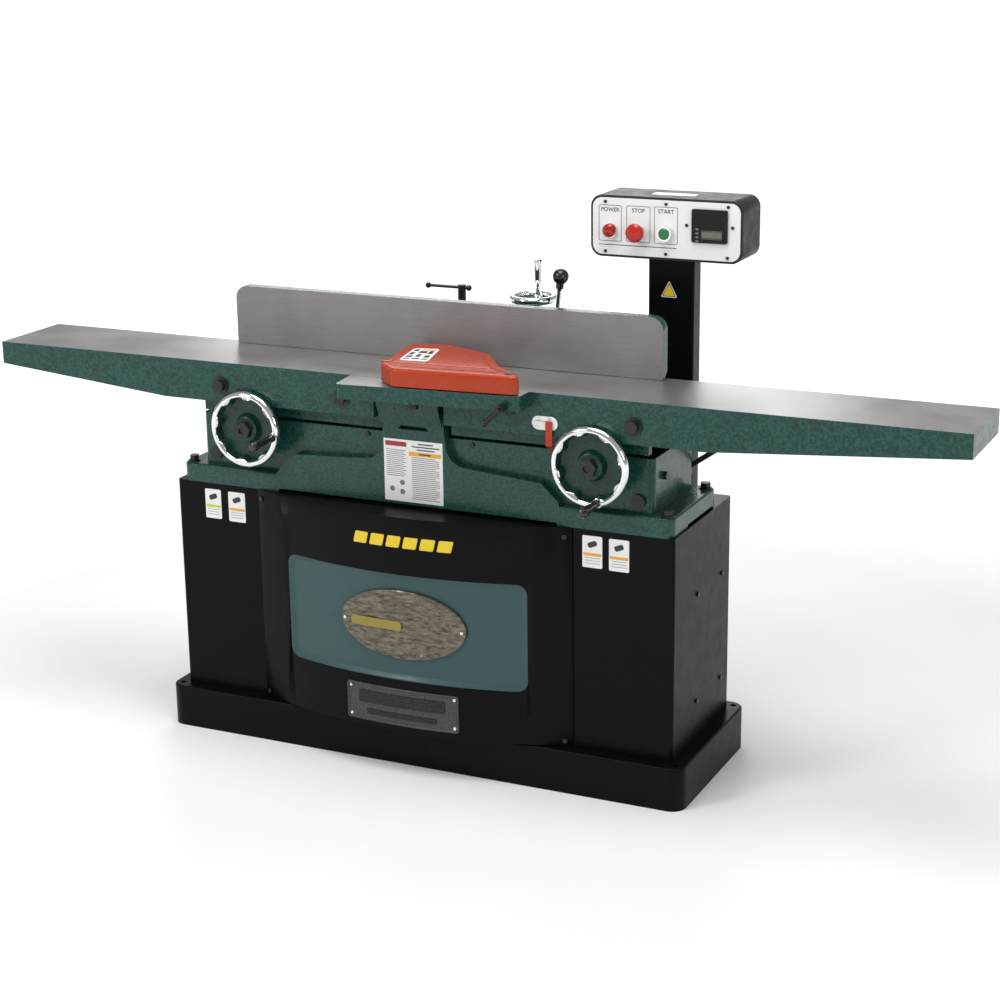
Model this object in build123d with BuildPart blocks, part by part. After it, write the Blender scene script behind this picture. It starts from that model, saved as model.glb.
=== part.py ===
"""Long-bed jointer with parallelogram tables, a spiral cutterhead and a pedestal control box.

Millimetres. The origin is the centre of the plinth's underside on the floor.
+X runs along the tables towards the infeed end, +Y to the rear and +Z up.
"""
from build123d import *
import math
import os

os.makedirs("parts", exist_ok=True)

# ---------------------------------------------------------------- driving dimensions
PLINTH_X, PLINTH_Y, PLINTH_Z = 592.0, 194.0, 90.6      # half length, half depth, height
ANCHOR_X, ANCHOR_Y, ANCHOR_R = 572.0, 172.0, 6.5       # corner anchor holes, half spacings
CABINET_X, CABINET_Y, CABINET_Z = 562.0, 163.0, 551.0  # half length, half depth, top
SHEET = 2.5                                            # sheet-metal thickness

HEAD_X, HEAD_Z, HEAD_R = 6.0, 779.5, 39.5              # cutterhead axis and cutting radius
HEAD_FRONT, HEAD_REAR = -163.0, 17.0                   # ends of the toothed length
JOURNAL_R = 12.0
BLOCK_SEAT = 742.0                                     # underside of the bearing blocks

TABLE_Z, TABLE_FRONT, TABLE_REAR = 819.0, -183.0, 20.0
TABLE_LOW = 735.0                                      # underside over the bed
TABLE_PLATE = 795.0                                    # underside of the top plate
TABLE_WALL = 16.0
SKIRT_LOW = 707.0
SKIRTS_Y = ((-150.0, -134.0), (-10.0, 6.0))            # hanging ribs, front and rear
LEGS_Y = ((-130.0, -112.0), (-10.0, 8.0))              # hanger legs, front and rear

BED_HALF, BED_FRONT, BED_REAR = 506.0, -146.0, 72.0    # upper box of the bed
BED_WALL, BED_TOP = 12.0, 699.0
FLANGE_HALF, FLANGE_FRONT, FLANGE_REAR, FLANGE_Z = 552.0, -166.0, 86.0, 590.0
APRON_FRONT = -166.0
PEDESTAL_X = (-60.0, 72.0)
PEDESTAL_Z = 752.0
CORBEL_X, CORBEL_Z = (-67.0, 71.0), (722.0, 764.0, 781.0)  # foot, shoulder and top of its slope

GEAR_MODULE = 2.0
PINION_TEETH, SECTOR_TEETH = 12, 94
GEAR_Y = (-106.0, -94.0)
WHEEL_Z = 688.0
INFEED_WHEEL_X, OUTFEED_WHEEL_X = 403.0, -362.0
SHAFT_Z, SHAFT_R = 610.0, 11.0
GEAR_CENTRES = GEAR_MODULE * (PINION_TEETH + SECTOR_TEETH) / 2
GEAR_RUN = math.sqrt(GEAR_CENTRES**2 - (WHEEL_Z - SHAFT_Z) ** 2)
INFEED_OUTER_X = INFEED_WHEEL_X - GEAR_RUN
OUTFEED_OUTER_X = OUTFEED_WHEEL_X + GEAR_RUN
INFEED_INNER_X, OUTFEED_INNER_X = 126.0, -114.0
THROW = 14.0                                           # eccentric throw, leaning 45 degrees outwards
DISC_R, DISC_FIT, OPEN_FIT = 26.0, 0.05, 0.35
LOCK_X, LOCK_Z, LOCK_R = 476.0, 614.0, 10.0            # table lock shafts, each side of the head

WHEEL_R, WHEEL_FRONT, WHEEL_REAR = 80.0, -212.0, -193.0
WHEEL_SHAFT_R, SPINDLE_R, GRIP_LENGTH = 7.0, 3.0, 80.0
LOBES = 8

FENCE_X = (-496.0, 474.0)
FENCE_FACE, FENCE_BACK, FENCE_LOW, FENCE_TOP = -2.0, 22.0, 820.0, 943.0
TILT_Y, TILT_Z, TILT_PIN_R = 6.0, 826.0, 2.5           # fence tilt axis
ARMS_X = (-25.0, 235.0)
CARRIAGE_X, CARRIAGE_Y, CARRIAGE_Z = (-45.0, 255.0), (104.0, 205.0), (821.0, 880.0)
RAIL_X, RAIL_Y, RAIL_Z = (129.4, 187.0), (24.0, 345.0), (770.0, 812.0)
RACK_PITCH_X, RACK_TEETH = 127.0, 48
FENCE_WHEEL_X, FENCE_WHEEL_Y, FENCE_PINION_TEETH = 111.0, 190.0, 16

PIVOT_X, PIVOT_Y = 240.0, -213.0                       # cutterhead guard pivot
GUARD_Z = (821.3, 857.6)
GUARD_RELIEF_Z = 827.4  # the guard's underside clears the outfeed table with the infeed table at its lowest

BOX_X, BOX_Y, BOX_Z = (242.0, 567.5), (190.0, 296.0), (1021.0, 1146.5)
POST_X, POST_Y = (355.5, 454.5), (222.0, 264.0)

COVER_X = (-362.0, 351.0)                              # bowed front cover
COVER_R, COVER_NOSE = 918.6, -238.0
COVER_MID = (COVER_X[0] + COVER_X[1]) / 2
FIT = 0.05


# ---------------------------------------------------------------- helpers
def across(y):
    """Upright plane at depth y facing the front; extrusions run towards the front."""
    return Plane.XZ.offset(-y)


def along(x):
    """Upright plane at length x; extrusions run towards the infeed end."""
    return Plane.YZ.offset(x)


def level(z):
    """Horizontal plane at height z; extrusions run upwards."""
    return Plane.XY.offset(z)


def save(piece, name):
    """Label a finished piece and write it as its own node."""
    piece.part.label = name
    export_step(piece.part, f"parts/{name}.step")


def block(x, y, z, mode=Mode.ADD):
    """Box between two limits on each axis, in the part being built."""
    with BuildSketch(level(z[0])) as outline:
        with Locations(((x[0] + x[1]) / 2, (y[0] + y[1]) / 2)):
            Rectangle(x[1] - x[0], y[1] - y[0])
    extrude(outline.sketch, amount=z[1] - z[0], mode=mode)


def barrel(x, z, radius, y, mode=Mode.ADD):
    """Cylinder along Y between two depths, in the part being built."""
    with BuildSketch(across(y[1])) as outline:
        with Locations((x, z)):
            Circle(radius)
    extrude(outline.sketch, amount=y[1] - y[0], mode=mode)


def column(x, y, radius, z, mode=Mode.ADD):
    """Upright cylinder between two heights, in the part being built."""
    with BuildSketch(level(z[0])) as outline:
        with Locations((x, y)):
            Circle(radius)
    extrude(outline.sketch, amount=z[1] - z[0], mode=mode)


def turned(x, z, profile):
    """Solid of revolution about a Y axis, from a profile of (radius, y) points."""
    with BuildSketch(Plane(origin=(x, 0, z), x_dir=(1, 0, 0), z_dir=(0, 0, 1))) as outline:
        Polygon(*profile, align=None)
    revolve(outline.sketch, axis=Axis((x, 0, z), (0, 1, 0)))


def spun(x, y, profile):
    """Solid of revolution about a Z axis, from a profile of (radius, z) points."""
    with BuildSketch(Plane(origin=(x, y, 0), x_dir=(1, 0, 0), z_dir=(0, -1, 0))) as outline:
        Polygon(*profile, align=None)
    revolve(outline.sketch, axis=Axis((x, y, 0), (0, 0, 1)))


def ball_rod(start, direction, length, rod_r, ball_r):
    """Round rod from a start point along a direction, ending in a ball."""
    lean = Plane(origin=start, z_dir=direction)
    neck = length - math.sqrt(ball_r**2 - rod_r**2)
    with BuildSketch(Plane(origin=start, x_dir=lean.x_dir, z_dir=-lean.y_dir)) as outline:
        with BuildLine():
            Polyline((0, 0), (rod_r, 0), (rod_r, neck))
            ThreePointArc((rod_r, neck), (ball_r, length), (0, length + ball_r))
            Line((0, length + ball_r), (0, 0))
        make_face()
    revolve(outline.sketch, axis=Axis(start, direction))


def gear_tooth(pitch_r, angle, inward=False):
    """Corner points of one slightly slim trapezoid tooth at an angle in degrees."""
    outer, inner = 0.8 * GEAR_MODULE, 1.3 * GEAR_MODULE
    half_pitch = math.pi * GEAR_MODULE / 2
    corners = ((-inner, 0.62), (outer, 0.22), (outer, -0.22), (-inner, -0.62))
    points = []
    for rise, share in corners:
        radius = pitch_r + rise
        turn = math.radians(angle) + share * half_pitch / pitch_r
        points.append((radius * math.cos(turn), radius * math.sin(turn)))
    return points


# ---------------------------------------------------------------- stand
def make_plinth():
    with BuildPart() as plinth_base:
        with BuildSketch(level(0)):
            RectangleRounded(2 * PLINTH_X, 2 * PLINTH_Y, 30)
        extrude(amount=PLINTH_Z)
        fillet(plinth_base.faces().sort_by(Axis.Z)[-1].edges(), 4)
        rib = 60
        with BuildSketch(level(0)):
            with GridLocations(ANCHOR_X - 27 + rib / 2, 0, 2, 1):
                RectangleRounded(ANCHOR_X - 27 - rib / 2, 2 * (ANCHOR_Y - 25), 12)
        extrude(amount=PLINTH_Z - 6, mode=Mode.SUBTRACT)
        with Locations((0, 0, PLINTH_Z)):
            with GridLocations(2 * ANCHOR_X, 2 * ANCHOR_Y, 2, 2):
                Hole(ANCHOR_R)
    save(plinth_base, "plinth_base")


def make_cabinet():
    with BuildPart() as cabinet_shell:
        with BuildSketch(level(PLINTH_Z)):
            RectangleRounded(2 * CABINET_X, 2 * CABINET_Y, 6)
        extrude(amount=CABINET_Z - PLINTH_Z)
        with BuildSketch(level(PLINTH_Z)):
            RectangleRounded(2 * (CABINET_X - SHEET), 2 * (CABINET_Y - SHEET), 6 - SHEET)
        extrude(amount=CABINET_Z - PLINTH_Z - SHEET, mode=Mode.SUBTRACT)
        block((-48, 60), (-134, 48), (540, 560), Mode.SUBTRACT)      # chip opening
        block((-56, 68), (87, 123), (540, 560), Mode.SUBTRACT)       # belt slot
        block((-330, 320), (-175, -155), (120, 520), Mode.SUBTRACT)  # access behind the cover
        barrel(-190, 450, 50.5, (155, 170), Mode.SUBTRACT)           # dust port hole
    save(cabinet_shell, "cabinet_shell")


def cover_point(radius, x):
    """Point on the bowed cover's plan arc of a given radius at length x."""
    centre_y = COVER_NOSE + COVER_R
    return x, centre_y - math.sqrt(radius**2 - (x - COVER_MID) ** 2)


def bowed_band(outer, inner, x, z):
    """Part of a bowed sheet between two radii, two lengths and two heights."""
    with BuildSketch(level(z[0])) as outline:
        with BuildLine():
            ThreePointArc(cover_point(outer, x[0]), cover_point(outer, COVER_MID),
                          cover_point(outer, x[1]))
            Line(cover_point(outer, x[1]), cover_point(inner, x[1]))
            ThreePointArc(cover_point(inner, x[1]), cover_point(inner, COVER_MID),
                          cover_point(inner, x[0]))
            Line(cover_point(inner, x[0]), cover_point(outer, x[0]))
        make_face()
    extrude(outline.sketch, amount=z[1] - z[0])


WINDOW_MID, WINDOW_SIZE = (-5.0, 318.0), (544.0, 226.0)
BADGE_MID, BADGE_HALF = (5.0, 324.0), (140.0, 73.0)
NAMEPLATE_X, NAMEPLATE_Z = (-126.0, 128.0), (106.0, 186.0)


def make_front_cover():
    cover_low, cover_high = 93.0, CABINET_Z
    with BuildPart() as front_cover:
        with BuildSketch(level(cover_low)):
            with BuildLine():
                ThreePointArc(cover_point(COVER_R, COVER_X[0]), (COVER_MID, COVER_NOSE),
                              cover_point(COVER_R, COVER_X[1]))
                Line(cover_point(COVER_R, COVER_X[1]), cover_point(COVER_R, COVER_X[0]))
            make_face()
        extrude(amount=cover_high - cover_low)
        with BuildSketch(level(cover_low)):
            with BuildLine():
                inner = COVER_R - 3
                reach = COVER_X[1] - COVER_MID - 9
                left, right = COVER_MID - reach, COVER_MID + reach
                arc_left, arc_right = cover_point(inner, left), cover_point(inner, right)
                ThreePointArc(arc_left, cover_point(inner, COVER_MID), arc_right)
                Polyline(arc_right, (right, -CABINET_Y + 5), (left, -CABINET_Y + 5), arc_left)
            make_face()
        extrude(amount=cover_high - cover_low - 3, mode=Mode.SUBTRACT)
        block((-600, 600), (-CABINET_Y - 0.05, 0), (0, 600), Mode.SUBTRACT)
        with BuildSketch(across(-150)):
            with Locations(WINDOW_MID):
                RectangleRounded(*WINDOW_SIZE, 22)
        extrude(amount=150, mode=Mode.SUBTRACT)
    save(front_cover, "front_cover")

    with BuildPart() as cover_panel:
        bowed_band(COVER_R - 3.2, COVER_R - 9, (-290, 280), (192, 444))
    save(cover_panel, "cover_panel")

    with BuildPart() as oval_badge:
        bowed_band(COVER_R + 2, COVER_R - 3.1, (-150, 160), (240, 410))
        with BuildSketch(across(-100)):
            with Locations(BADGE_MID):
                Ellipse(*BADGE_HALF)
        extrude(amount=200, mode=Mode.INTERSECT)
    save(oval_badge, "oval_badge")

    with BuildPart() as nameplate:
        bowed_band(COVER_R + 3.5, COVER_R + 0.1, NAMEPLATE_X, NAMEPLATE_Z)
        for x in (NAMEPLATE_X[0] + 9, NAMEPLATE_X[1] - 9):
            for z in (NAMEPLATE_Z[0] + 9, NAMEPLATE_Z[1] - 9):
                surface = cover_point(COVER_R + 3.5, x)[1]
                barrel(x, z, 4, (surface - 2, surface + 1.5))
    save(nameplate, "nameplate")


PANEL_SCREWS = ((274.8, 1133.5), (405.8, 1134.0), (537.0, 1134.5), (449.9, 1094.1),
                (546.6, 1093.8), (274.9, 1032.6), (406.0, 1033.2), (536.6, 1033.0))


def make_screws():
    """Pan-head screws of the cover, the cabinet ends and the control panel."""
    head_r, head_h = 5.0, 3.0
    with BuildPart() as panel_screws:
        for x in (-351, 336):
            surface = cover_point(COVER_R, x)[1]
            outward = (x - COVER_MID, surface - COVER_NOSE - COVER_R, 0)
            for z in (104, 532):
                with BuildSketch(Plane(origin=(x, surface, z), z_dir=outward)):
                    Circle(head_r)
                extrude(amount=head_h)
        for side in (-1, 1):
            for y in (-30, 113):
                for z in (173, 400):
                    with BuildSketch(along(side * CABINET_X)):
                        with Locations((y, z)):
                            Circle(head_r)
                    extrude(amount=side * head_h)
        for x, z in PANEL_SCREWS:
            barrel(x, z, 3.2, (BOX_Y[0] - 4.2, BOX_Y[0] - 2))
    save(panel_screws, "panel_screws")


def make_control_post():
    with BuildPart() as control_post:
        mid_x, mid_y = sum(POST_X) / 2, sum(POST_Y) / 2
        size_x, size_y = POST_X[1] - POST_X[0], POST_Y[1] - POST_Y[0]
        with BuildSketch(level(250)):
            with Locations((mid_x, mid_y)):
                RectangleRounded(size_x, size_y, 4)
                RectangleRounded(size_x - 2 * SHEET, size_y - 2 * SHEET, 1.5, mode=Mode.SUBTRACT)
        extrude(amount=BOX_Z[0] - 250)
        for z in (290, 470):
            block((mid_x - 32, mid_x + 32), (CABINET_Y, POST_Y[0] + 1), (z, z + 50))
            block((mid_x - 28, mid_x + 28), (CABINET_Y - 1, POST_Y[0] - 4), (z + 4, z + 46),
                  Mode.SUBTRACT)
            block((mid_x - 46, mid_x + 46), (CABINET_Y, CABINET_Y + 4), (z - 10, z + 60))
    save(control_post, "control_post")


# ---------------------------------------------------------------- bed
def slope_corbel():
    """Cuts the corbel's front back to its slope, from the apron out to the tables' front."""
    with BuildSketch(along(CORBEL_X[0] - 2)) as wedge:
        Polygon((APRON_FRONT, CORBEL_Z[0]), (TABLE_FRONT, CORBEL_Z[1]), (TABLE_FRONT - 9, CORBEL_Z[1]),
                (TABLE_FRONT - 9, CORBEL_Z[0] - 1), (APRON_FRONT, CORBEL_Z[0] - 1), align=None)
    extrude(wedge.sketch, amount=CORBEL_X[1] - CORBEL_X[0] + 4, mode=Mode.SUBTRACT)


def make_bed():
    end_left, end_right = HEAD_X - BED_HALF, HEAD_X + BED_HALF
    with BuildPart() as bed_casting:
        with BuildSketch(level(CABINET_Z)):
            with Locations((HEAD_X, (FLANGE_FRONT + FLANGE_REAR) / 2)):
                RectangleRounded(2 * FLANGE_HALF, FLANGE_REAR - FLANGE_FRONT, 20)
        extrude(amount=FLANGE_Z - CABINET_Z)
        fillet(bed_casting.faces().sort_by(Axis.Z)[-1].edges(), 5)
        with BuildSketch(level(FLANGE_Z - 5)):
            with Locations((HEAD_X, (BED_FRONT + BED_REAR) / 2)):
                RectangleRounded(2 * BED_HALF, BED_REAR - BED_FRONT, 12)
        extrude(amount=BED_TOP - FLANGE_Z + 5)
        with BuildSketch(across(BED_FRONT + 1)):
            with BuildLine():
                Polyline((-318, FLANGE_Z - 5), (-298, 613), (-268, 635), (-113, 643))
                ThreePointArc((-113, 643), (-80, 653), (-64, 682))
                Polyline((-64, 682), (-60, PEDESTAL_Z), (72, PEDESTAL_Z), (78, 686))
                ThreePointArc((78, 686), (90, 660), (120, 646))
                Polyline((120, 646), (284, 633), (320, 600), (326, FLANGE_Z - 5),
                         (-318, FLANGE_Z - 5))
            make_face()
        extrude(amount=BED_FRONT + 1 - APRON_FRONT)
        block((end_left + BED_WALL, end_right - BED_WALL),
              (BED_FRONT + BED_WALL, BED_REAR - BED_WALL), (CABINET_Z - 1, BED_TOP + 1),
              Mode.SUBTRACT)
        block(PEDESTAL_X, (BED_FRONT, BED_REAR), (CABINET_Z + 6, PEDESTAL_Z))
        block((PEDESTAL_X[0] + BED_WALL, PEDESTAL_X[1] - BED_WALL),
              (BED_FRONT + BED_WALL, BED_REAR - BED_WALL), (CABINET_Z - 1, PEDESTAL_Z + 1),
              Mode.SUBTRACT)
        block(CORBEL_X, (TABLE_FRONT, APRON_FRONT + 20), (CORBEL_Z[0], CORBEL_Z[2]))
        for y in ((-190, BED_FRONT + BED_WALL + 1), (BED_REAR - BED_WALL - 1, 90)):
            block((HEAD_X - 32.2, HEAD_X + 32.2), y, (BLOCK_SEAT, CORBEL_Z[2] + 1), Mode.SUBTRACT)
        slope_corbel()
        barrel(HEAD_X, HEAD_Z, HEAD_R + 4, (APRON_FRONT - 1, BED_REAR - BED_WALL), Mode.SUBTRACT)
        block((-311, 318), (-200, 200), (CABINET_Z - 1, CABINET_Z + 6), Mode.SUBTRACT)
        block((-600, 600), (-80, 60), (CABINET_Z - 1, CABINET_Z + 6), Mode.SUBTRACT)
        with BuildSketch(across(-150)):
            with BuildLine():
                Polyline((-28, 713), (42, 713), (34, 721), (-20, 721), (-28, 713))
            make_face()
        extrude(amount=30, mode=Mode.SUBTRACT)
        for x in (INFEED_WHEEL_X, OUTFEED_WHEEL_X):
            barrel(x, WHEEL_Z, 11, (APRON_FRONT, BED_FRONT + BED_WALL))
            barrel(x, WHEEL_Z, WHEEL_SHAFT_R + FIT, (APRON_FRONT - 1, -120), Mode.SUBTRACT)
        for x in (INFEED_OUTER_X, INFEED_INNER_X, OUTFEED_OUTER_X, OUTFEED_INNER_X):
            barrel(x, SHAFT_Z, SHAFT_R + FIT, (-143, BED_REAR + 1), Mode.SUBTRACT)
        for x in (HEAD_X + LOCK_X, HEAD_X - LOCK_X):
            barrel(x, LOCK_Z, LOCK_R + FIT, (BED_FRONT - 1, BED_REAR + 1), Mode.SUBTRACT)
    save(bed_casting, "bed_casting")

    with BuildPart() as bed_bolts:
        for x in (HEAD_X - 535, HEAD_X + 535):
            for y in (-144, 66):
                column(x, y, 13, (FLANGE_Z, FLANGE_Z + 2.5))
                with BuildSketch(level(FLANGE_Z + 2.5)):
                    with Locations((x, y)):
                        RegularPolygon(10.5, 6)
                extrude(amount=10)
        for x in (HEAD_X - 113, HEAD_X + 122):
            barrel(x, 690, 5, (BED_FRONT - 4, BED_FRONT))
        for y in (-92,):
            with BuildSketch(along(HEAD_X + BED_HALF)):
                with Locations((y, 655)):
                    Circle(8)
            extrude(amount=8)
    save(bed_bolts, "bed_bolts")

    with BuildPart() as depth_pointer:
        with BuildSketch(along(305)):
            Polygon((-188.5, 765), (-186.5, 765), (-186.5, 717.2), (-151.4, 696), (-146, 696),
                    (-146, 676), (-148, 676), (-148, 694), (-152, 694), (-188.5, 716.2),
                    align=None)
        extrude(amount=14)
    save(depth_pointer, "depth_pointer")


# ---------------------------------------------------------------- tables
def make_table(name, out, lip, shoulder, flat_end, end, end_low, shafts):
    """Cast table. out is +1 for the infeed side and -1 for the outfeed side."""
    lip_slope, ribs = 17, 5
    skirt_end = HEAD_X + out * 497
    profile = ((lip, TABLE_Z), (lip, TABLE_Z - 8), (lip + out * lip_slope, TABLE_Z - 25),
               (shoulder, TABLE_Z - 25), (shoulder, TABLE_LOW), (flat_end, TABLE_LOW),
               (end, end_low), (end, TABLE_Z))
    with BuildPart() as table:
        with BuildSketch(across(TABLE_REAR)):
            Polygon(*profile, align=None)
        extrude(amount=TABLE_REAR - TABLE_FRONT)
        inside_y = (TABLE_FRONT + TABLE_WALL, TABLE_REAR - TABLE_WALL)
        first = shoulder + out * TABLE_WALL
        far = skirt_end + out * 20
        block(sorted((first, far)), inside_y, (700, TABLE_PLATE), Mode.SUBTRACT)
        bay = (end - out * TABLE_WALL - far) / ribs
        for index in range(ribs):
            start = far + bay * index + out * 10
            stop = far + bay * (index + 1)
            block(sorted((start, stop)), inside_y, (700, TABLE_PLATE), Mode.SUBTRACT)
        for y in SKIRTS_Y:
            block(sorted((shoulder, skirt_end)), y, (SKIRT_LOW, TABLE_PLATE + 2))
        for shaft_x, fit in shafts:
            lean_x = shaft_x + out * THROW * math.cos(math.radians(45))
            lean_z = SHAFT_Z + THROW * math.sin(math.radians(45))
            for y in LEGS_Y:
                block((lean_x - 36, lean_x + 36), y, (lean_z, TABLE_PLATE + 2))
                barrel(lean_x, lean_z, 36, y)
                barrel(lean_x, lean_z, DISC_R + fit, (y[0] - 1, y[1] + 1), Mode.SUBTRACT)
    save(table, name)


def make_tables():
    make_table("infeed_table", 1, HEAD_X + 28, 84, 624, 1124.6, 772,
               ((INFEED_OUTER_X, DISC_FIT), (INFEED_INNER_X, OPEN_FIT)))
    make_table("outfeed_table", -1, HEAD_X - 28, -72, -568, -983.5, 771.5,
               ((OUTFEED_OUTER_X, DISC_FIT), (OUTFEED_INNER_X, OPEN_FIT)))

    with BuildPart() as rabbet_ledge:
        with BuildSketch(level(TABLE_Z - 30)):
            Polygon((-121, -184), (-112, -265), (269, -229), (269, TABLE_FRONT),
                    (60, TABLE_FRONT), (58, -184), align=None)
        extrude(amount=30)
        fillet(rabbet_ledge.edges().filter_by(Axis.Z).sort_by(Axis.Y)[:2], 9)
        column(PIVOT_X, PIVOT_Y, 8 + FIT, (780, 830), Mode.SUBTRACT)
    save(rabbet_ledge, "rabbet_ledge")

    with BuildPart() as infeed_bolts:
        barrel(484.5, 771, 18, (TABLE_FRONT - 3, TABLE_FRONT))
        barrel(484.5, 771, 12, (TABLE_FRONT - 14, TABLE_FRONT - 3))
        column(36, -222, 15, (TABLE_Z - 33, TABLE_Z - 30))
        column(36, -222, 12, (TABLE_Z - 46, TABLE_Z - 33))
    save(infeed_bolts, "infeed_bolts")

    with BuildPart() as outfeed_bolts:
        for x in (-429, -144):
            barrel(x, 771, 18, (TABLE_FRONT - 3, TABLE_FRONT))
            barrel(x, 771, 12, (TABLE_FRONT - 14, TABLE_FRONT - 3))
    save(outfeed_bolts, "outfeed_bolts")

    with BuildPart() as depth_scale:
        with BuildSketch(across(TABLE_FRONT)):
            with Locations((302, 760)):
                SlotOverall(54, 27)
        extrude(amount=1.5)
    save(depth_scale, "depth_scale")


# ---------------------------------------------------------------- table raising gear
def make_eccentric(name, shaft_x, out, wheel_x=None):
    """Eccentric cross shaft. The outer ones carry the toothed sector that the pinion turns."""
    lean_x = shaft_x + out * THROW * math.cos(math.radians(45))
    lean_z = SHAFT_Z + THROW * math.sin(math.radians(45))
    with BuildPart() as shaft:
        barrel(shaft_x, SHAFT_Z, SHAFT_R, (-142.5, BED_REAR))
        for y in LEGS_Y:
            barrel(lean_x, lean_z, DISC_R, y)
        if wheel_x is not None:
            pitch_r = GEAR_MODULE * SECTOR_TEETH / 2
            step = 360 / SECTOR_TEETH
            mesh = math.degrees(math.atan2(WHEEL_Z - SHAFT_Z, wheel_x - shaft_x))
            first, last = (-5, 10) if out > 0 else (-8, 6)
            root_r = pitch_r - 1.25 * GEAR_MODULE
            barrel(shaft_x, SHAFT_Z, 20, GEAR_Y)
            start, stop = mesh + (first - 0.2) * step, mesh + (last + 0.2) * step
            with BuildSketch(Plane(origin=(shaft_x, GEAR_Y[1], SHAFT_Z), x_dir=(1, 0, 0),
                                   z_dir=(0, -1, 0))):
                with BuildLine():
                    edge = CenterArc((0, 0), root_r, start, stop - start)
                    Polyline(edge @ 1, (0, 0), edge @ 0)
                make_face()
                for index in range(first, last):
                    Polygon(*gear_tooth(pitch_r, mesh + (index + 0.5) * step), align=None)
            extrude(amount=GEAR_Y[1] - GEAR_Y[0])
    save(shaft, name)


def make_pinion_shaft(name, wheel_x, shaft_x):
    """Handwheel shaft with its pinion cut to mesh with the sector."""
    pitch_r = GEAR_MODULE * PINION_TEETH / 2
    mesh = math.degrees(math.atan2(SHAFT_Z - WHEEL_Z, shaft_x - wheel_x))
    with BuildPart() as shaft:
        barrel(wheel_x, WHEEL_Z, WHEEL_SHAFT_R, (-216, GEAR_Y[1]))
        with BuildSketch(across(GEAR_Y[1])):
            with Locations((wheel_x, WHEEL_Z)):
                Circle(pitch_r - 1.25 * GEAR_MODULE)
                for index in range(PINION_TEETH):
                    angle = mesh + index * 360 / PINION_TEETH
                    Polygon(*gear_tooth(pitch_r, angle), align=None)
        extrude(amount=GEAR_Y[1] - GEAR_Y[0])
    save(shaft, name)


def make_handwheel(side, wheel_x, grip_angle):
    """Dished handwheel with a scalloped rim, its nut and its turning grip."""
    grip_x = wheel_x + (WHEEL_R - 10) * math.cos(math.radians(grip_angle))
    grip_z = WHEEL_Z + (WHEEL_R - 10) * math.sin(math.radians(grip_angle))
    with BuildPart() as handwheel:
        with BuildSketch(across(WHEEL_REAR)):
            with Locations((wheel_x, WHEEL_Z)):
                Circle(WHEEL_R)
                Circle(WHEEL_R - 12, mode=Mode.SUBTRACT)
                with PolarLocations(WHEEL_R - 7, LOBES, start_angle=grip_angle):
                    Circle(10)
                Circle(WHEEL_R, mode=Mode.INTERSECT)
        extrude(amount=WHEEL_REAR - WHEEL_FRONT)
        rim = handwheel.edges().filter_by(GeomType.CIRCLE)
        fillet(rim.filter_by(lambda edge: abs(edge.radius - WHEEL_R) < 0.01), 5)
        turned(wheel_x, WHEEL_Z, ((WHEEL_SHAFT_R, -205), (26, -205), (27, -203), (27, -188),
                                  (WHEEL_R - 9, -199.5), (WHEEL_R - 9, -WHEEL_REAR * -1),
                                  (27, -180), (24, -170), (WHEEL_SHAFT_R, -170)))
        barrel(grip_x, grip_z, SPINDLE_R, (WHEEL_FRONT - GRIP_LENGTH + 6, WHEEL_FRONT + 5))
    save(handwheel, f"{side}_handwheel")

    with BuildPart() as wheel_nut:
        with BuildSketch(across(-205)):
            with Locations((wheel_x, WHEEL_Z)):
                RegularPolygon(19, 6, rotation=12)
                Circle(WHEEL_SHAFT_R + FIT, mode=Mode.SUBTRACT)
        extrude(amount=14)
    save(wheel_nut, f"{side}_wheel_nut")

    base, tip = WHEEL_FRONT - 0.4, WHEEL_FRONT - GRIP_LENGTH
    with BuildPart() as wheel_grip:
        turned(grip_x, grip_z, ((0, base), (8, base), (8, base - 8), (5.8, base - 12),
                                (7, base - 24), (10.2, tip + 18), (10.4, tip + 8), (8, tip + 2),
                                (4.5, tip), (0, tip)))
        barrel(grip_x, grip_z, SPINDLE_R + FIT, (tip + 5.5, base + 1), Mode.SUBTRACT)
    save(wheel_grip, f"{side}_wheel_grip")


def make_lock_lever(side, out):
    """Table lock shaft with its clamping head in front and its lever at the rear."""
    x = HEAD_X + out * LOCK_X
    lift = math.radians(35)
    reach = 122
    lift_x, lift_z = out * math.cos(lift), math.sin(lift)
    with BuildPart() as lock_lever:
        barrel(x, LOCK_Z, LOCK_R, (BED_FRONT - 1, 104))
        barrel(x, LOCK_Z, 14, (BED_FRONT - 7, BED_FRONT - 0.2))
        barrel(x, LOCK_Z, 17, (BED_REAR + 8, 104))
        ball_rod((x + 6 * lift_x, 93, LOCK_Z + 6 * lift_z), (lift_x, 0, lift_z), reach, 5.5, 9)
    save(lock_lever, f"{side}_lock_lever")


def make_raising_gear():
    make_eccentric("infeed_outer_shaft", INFEED_OUTER_X, 1, INFEED_WHEEL_X)
    make_eccentric("infeed_inner_shaft", INFEED_INNER_X, 1)
    make_eccentric("outfeed_outer_shaft", OUTFEED_OUTER_X, -1, OUTFEED_WHEEL_X)
    make_eccentric("outfeed_inner_shaft", OUTFEED_INNER_X, -1)
    make_pinion_shaft("infeed_pinion_shaft", INFEED_WHEEL_X, INFEED_OUTER_X)
    make_pinion_shaft("outfeed_pinion_shaft", OUTFEED_WHEEL_X, OUTFEED_OUTER_X)
    make_handwheel("infeed", INFEED_WHEEL_X, -74)
    make_handwheel("outfeed", OUTFEED_WHEEL_X, -8)
    make_lock_lever("infeed", 1)
    make_lock_lever("outfeed", -1)


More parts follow.
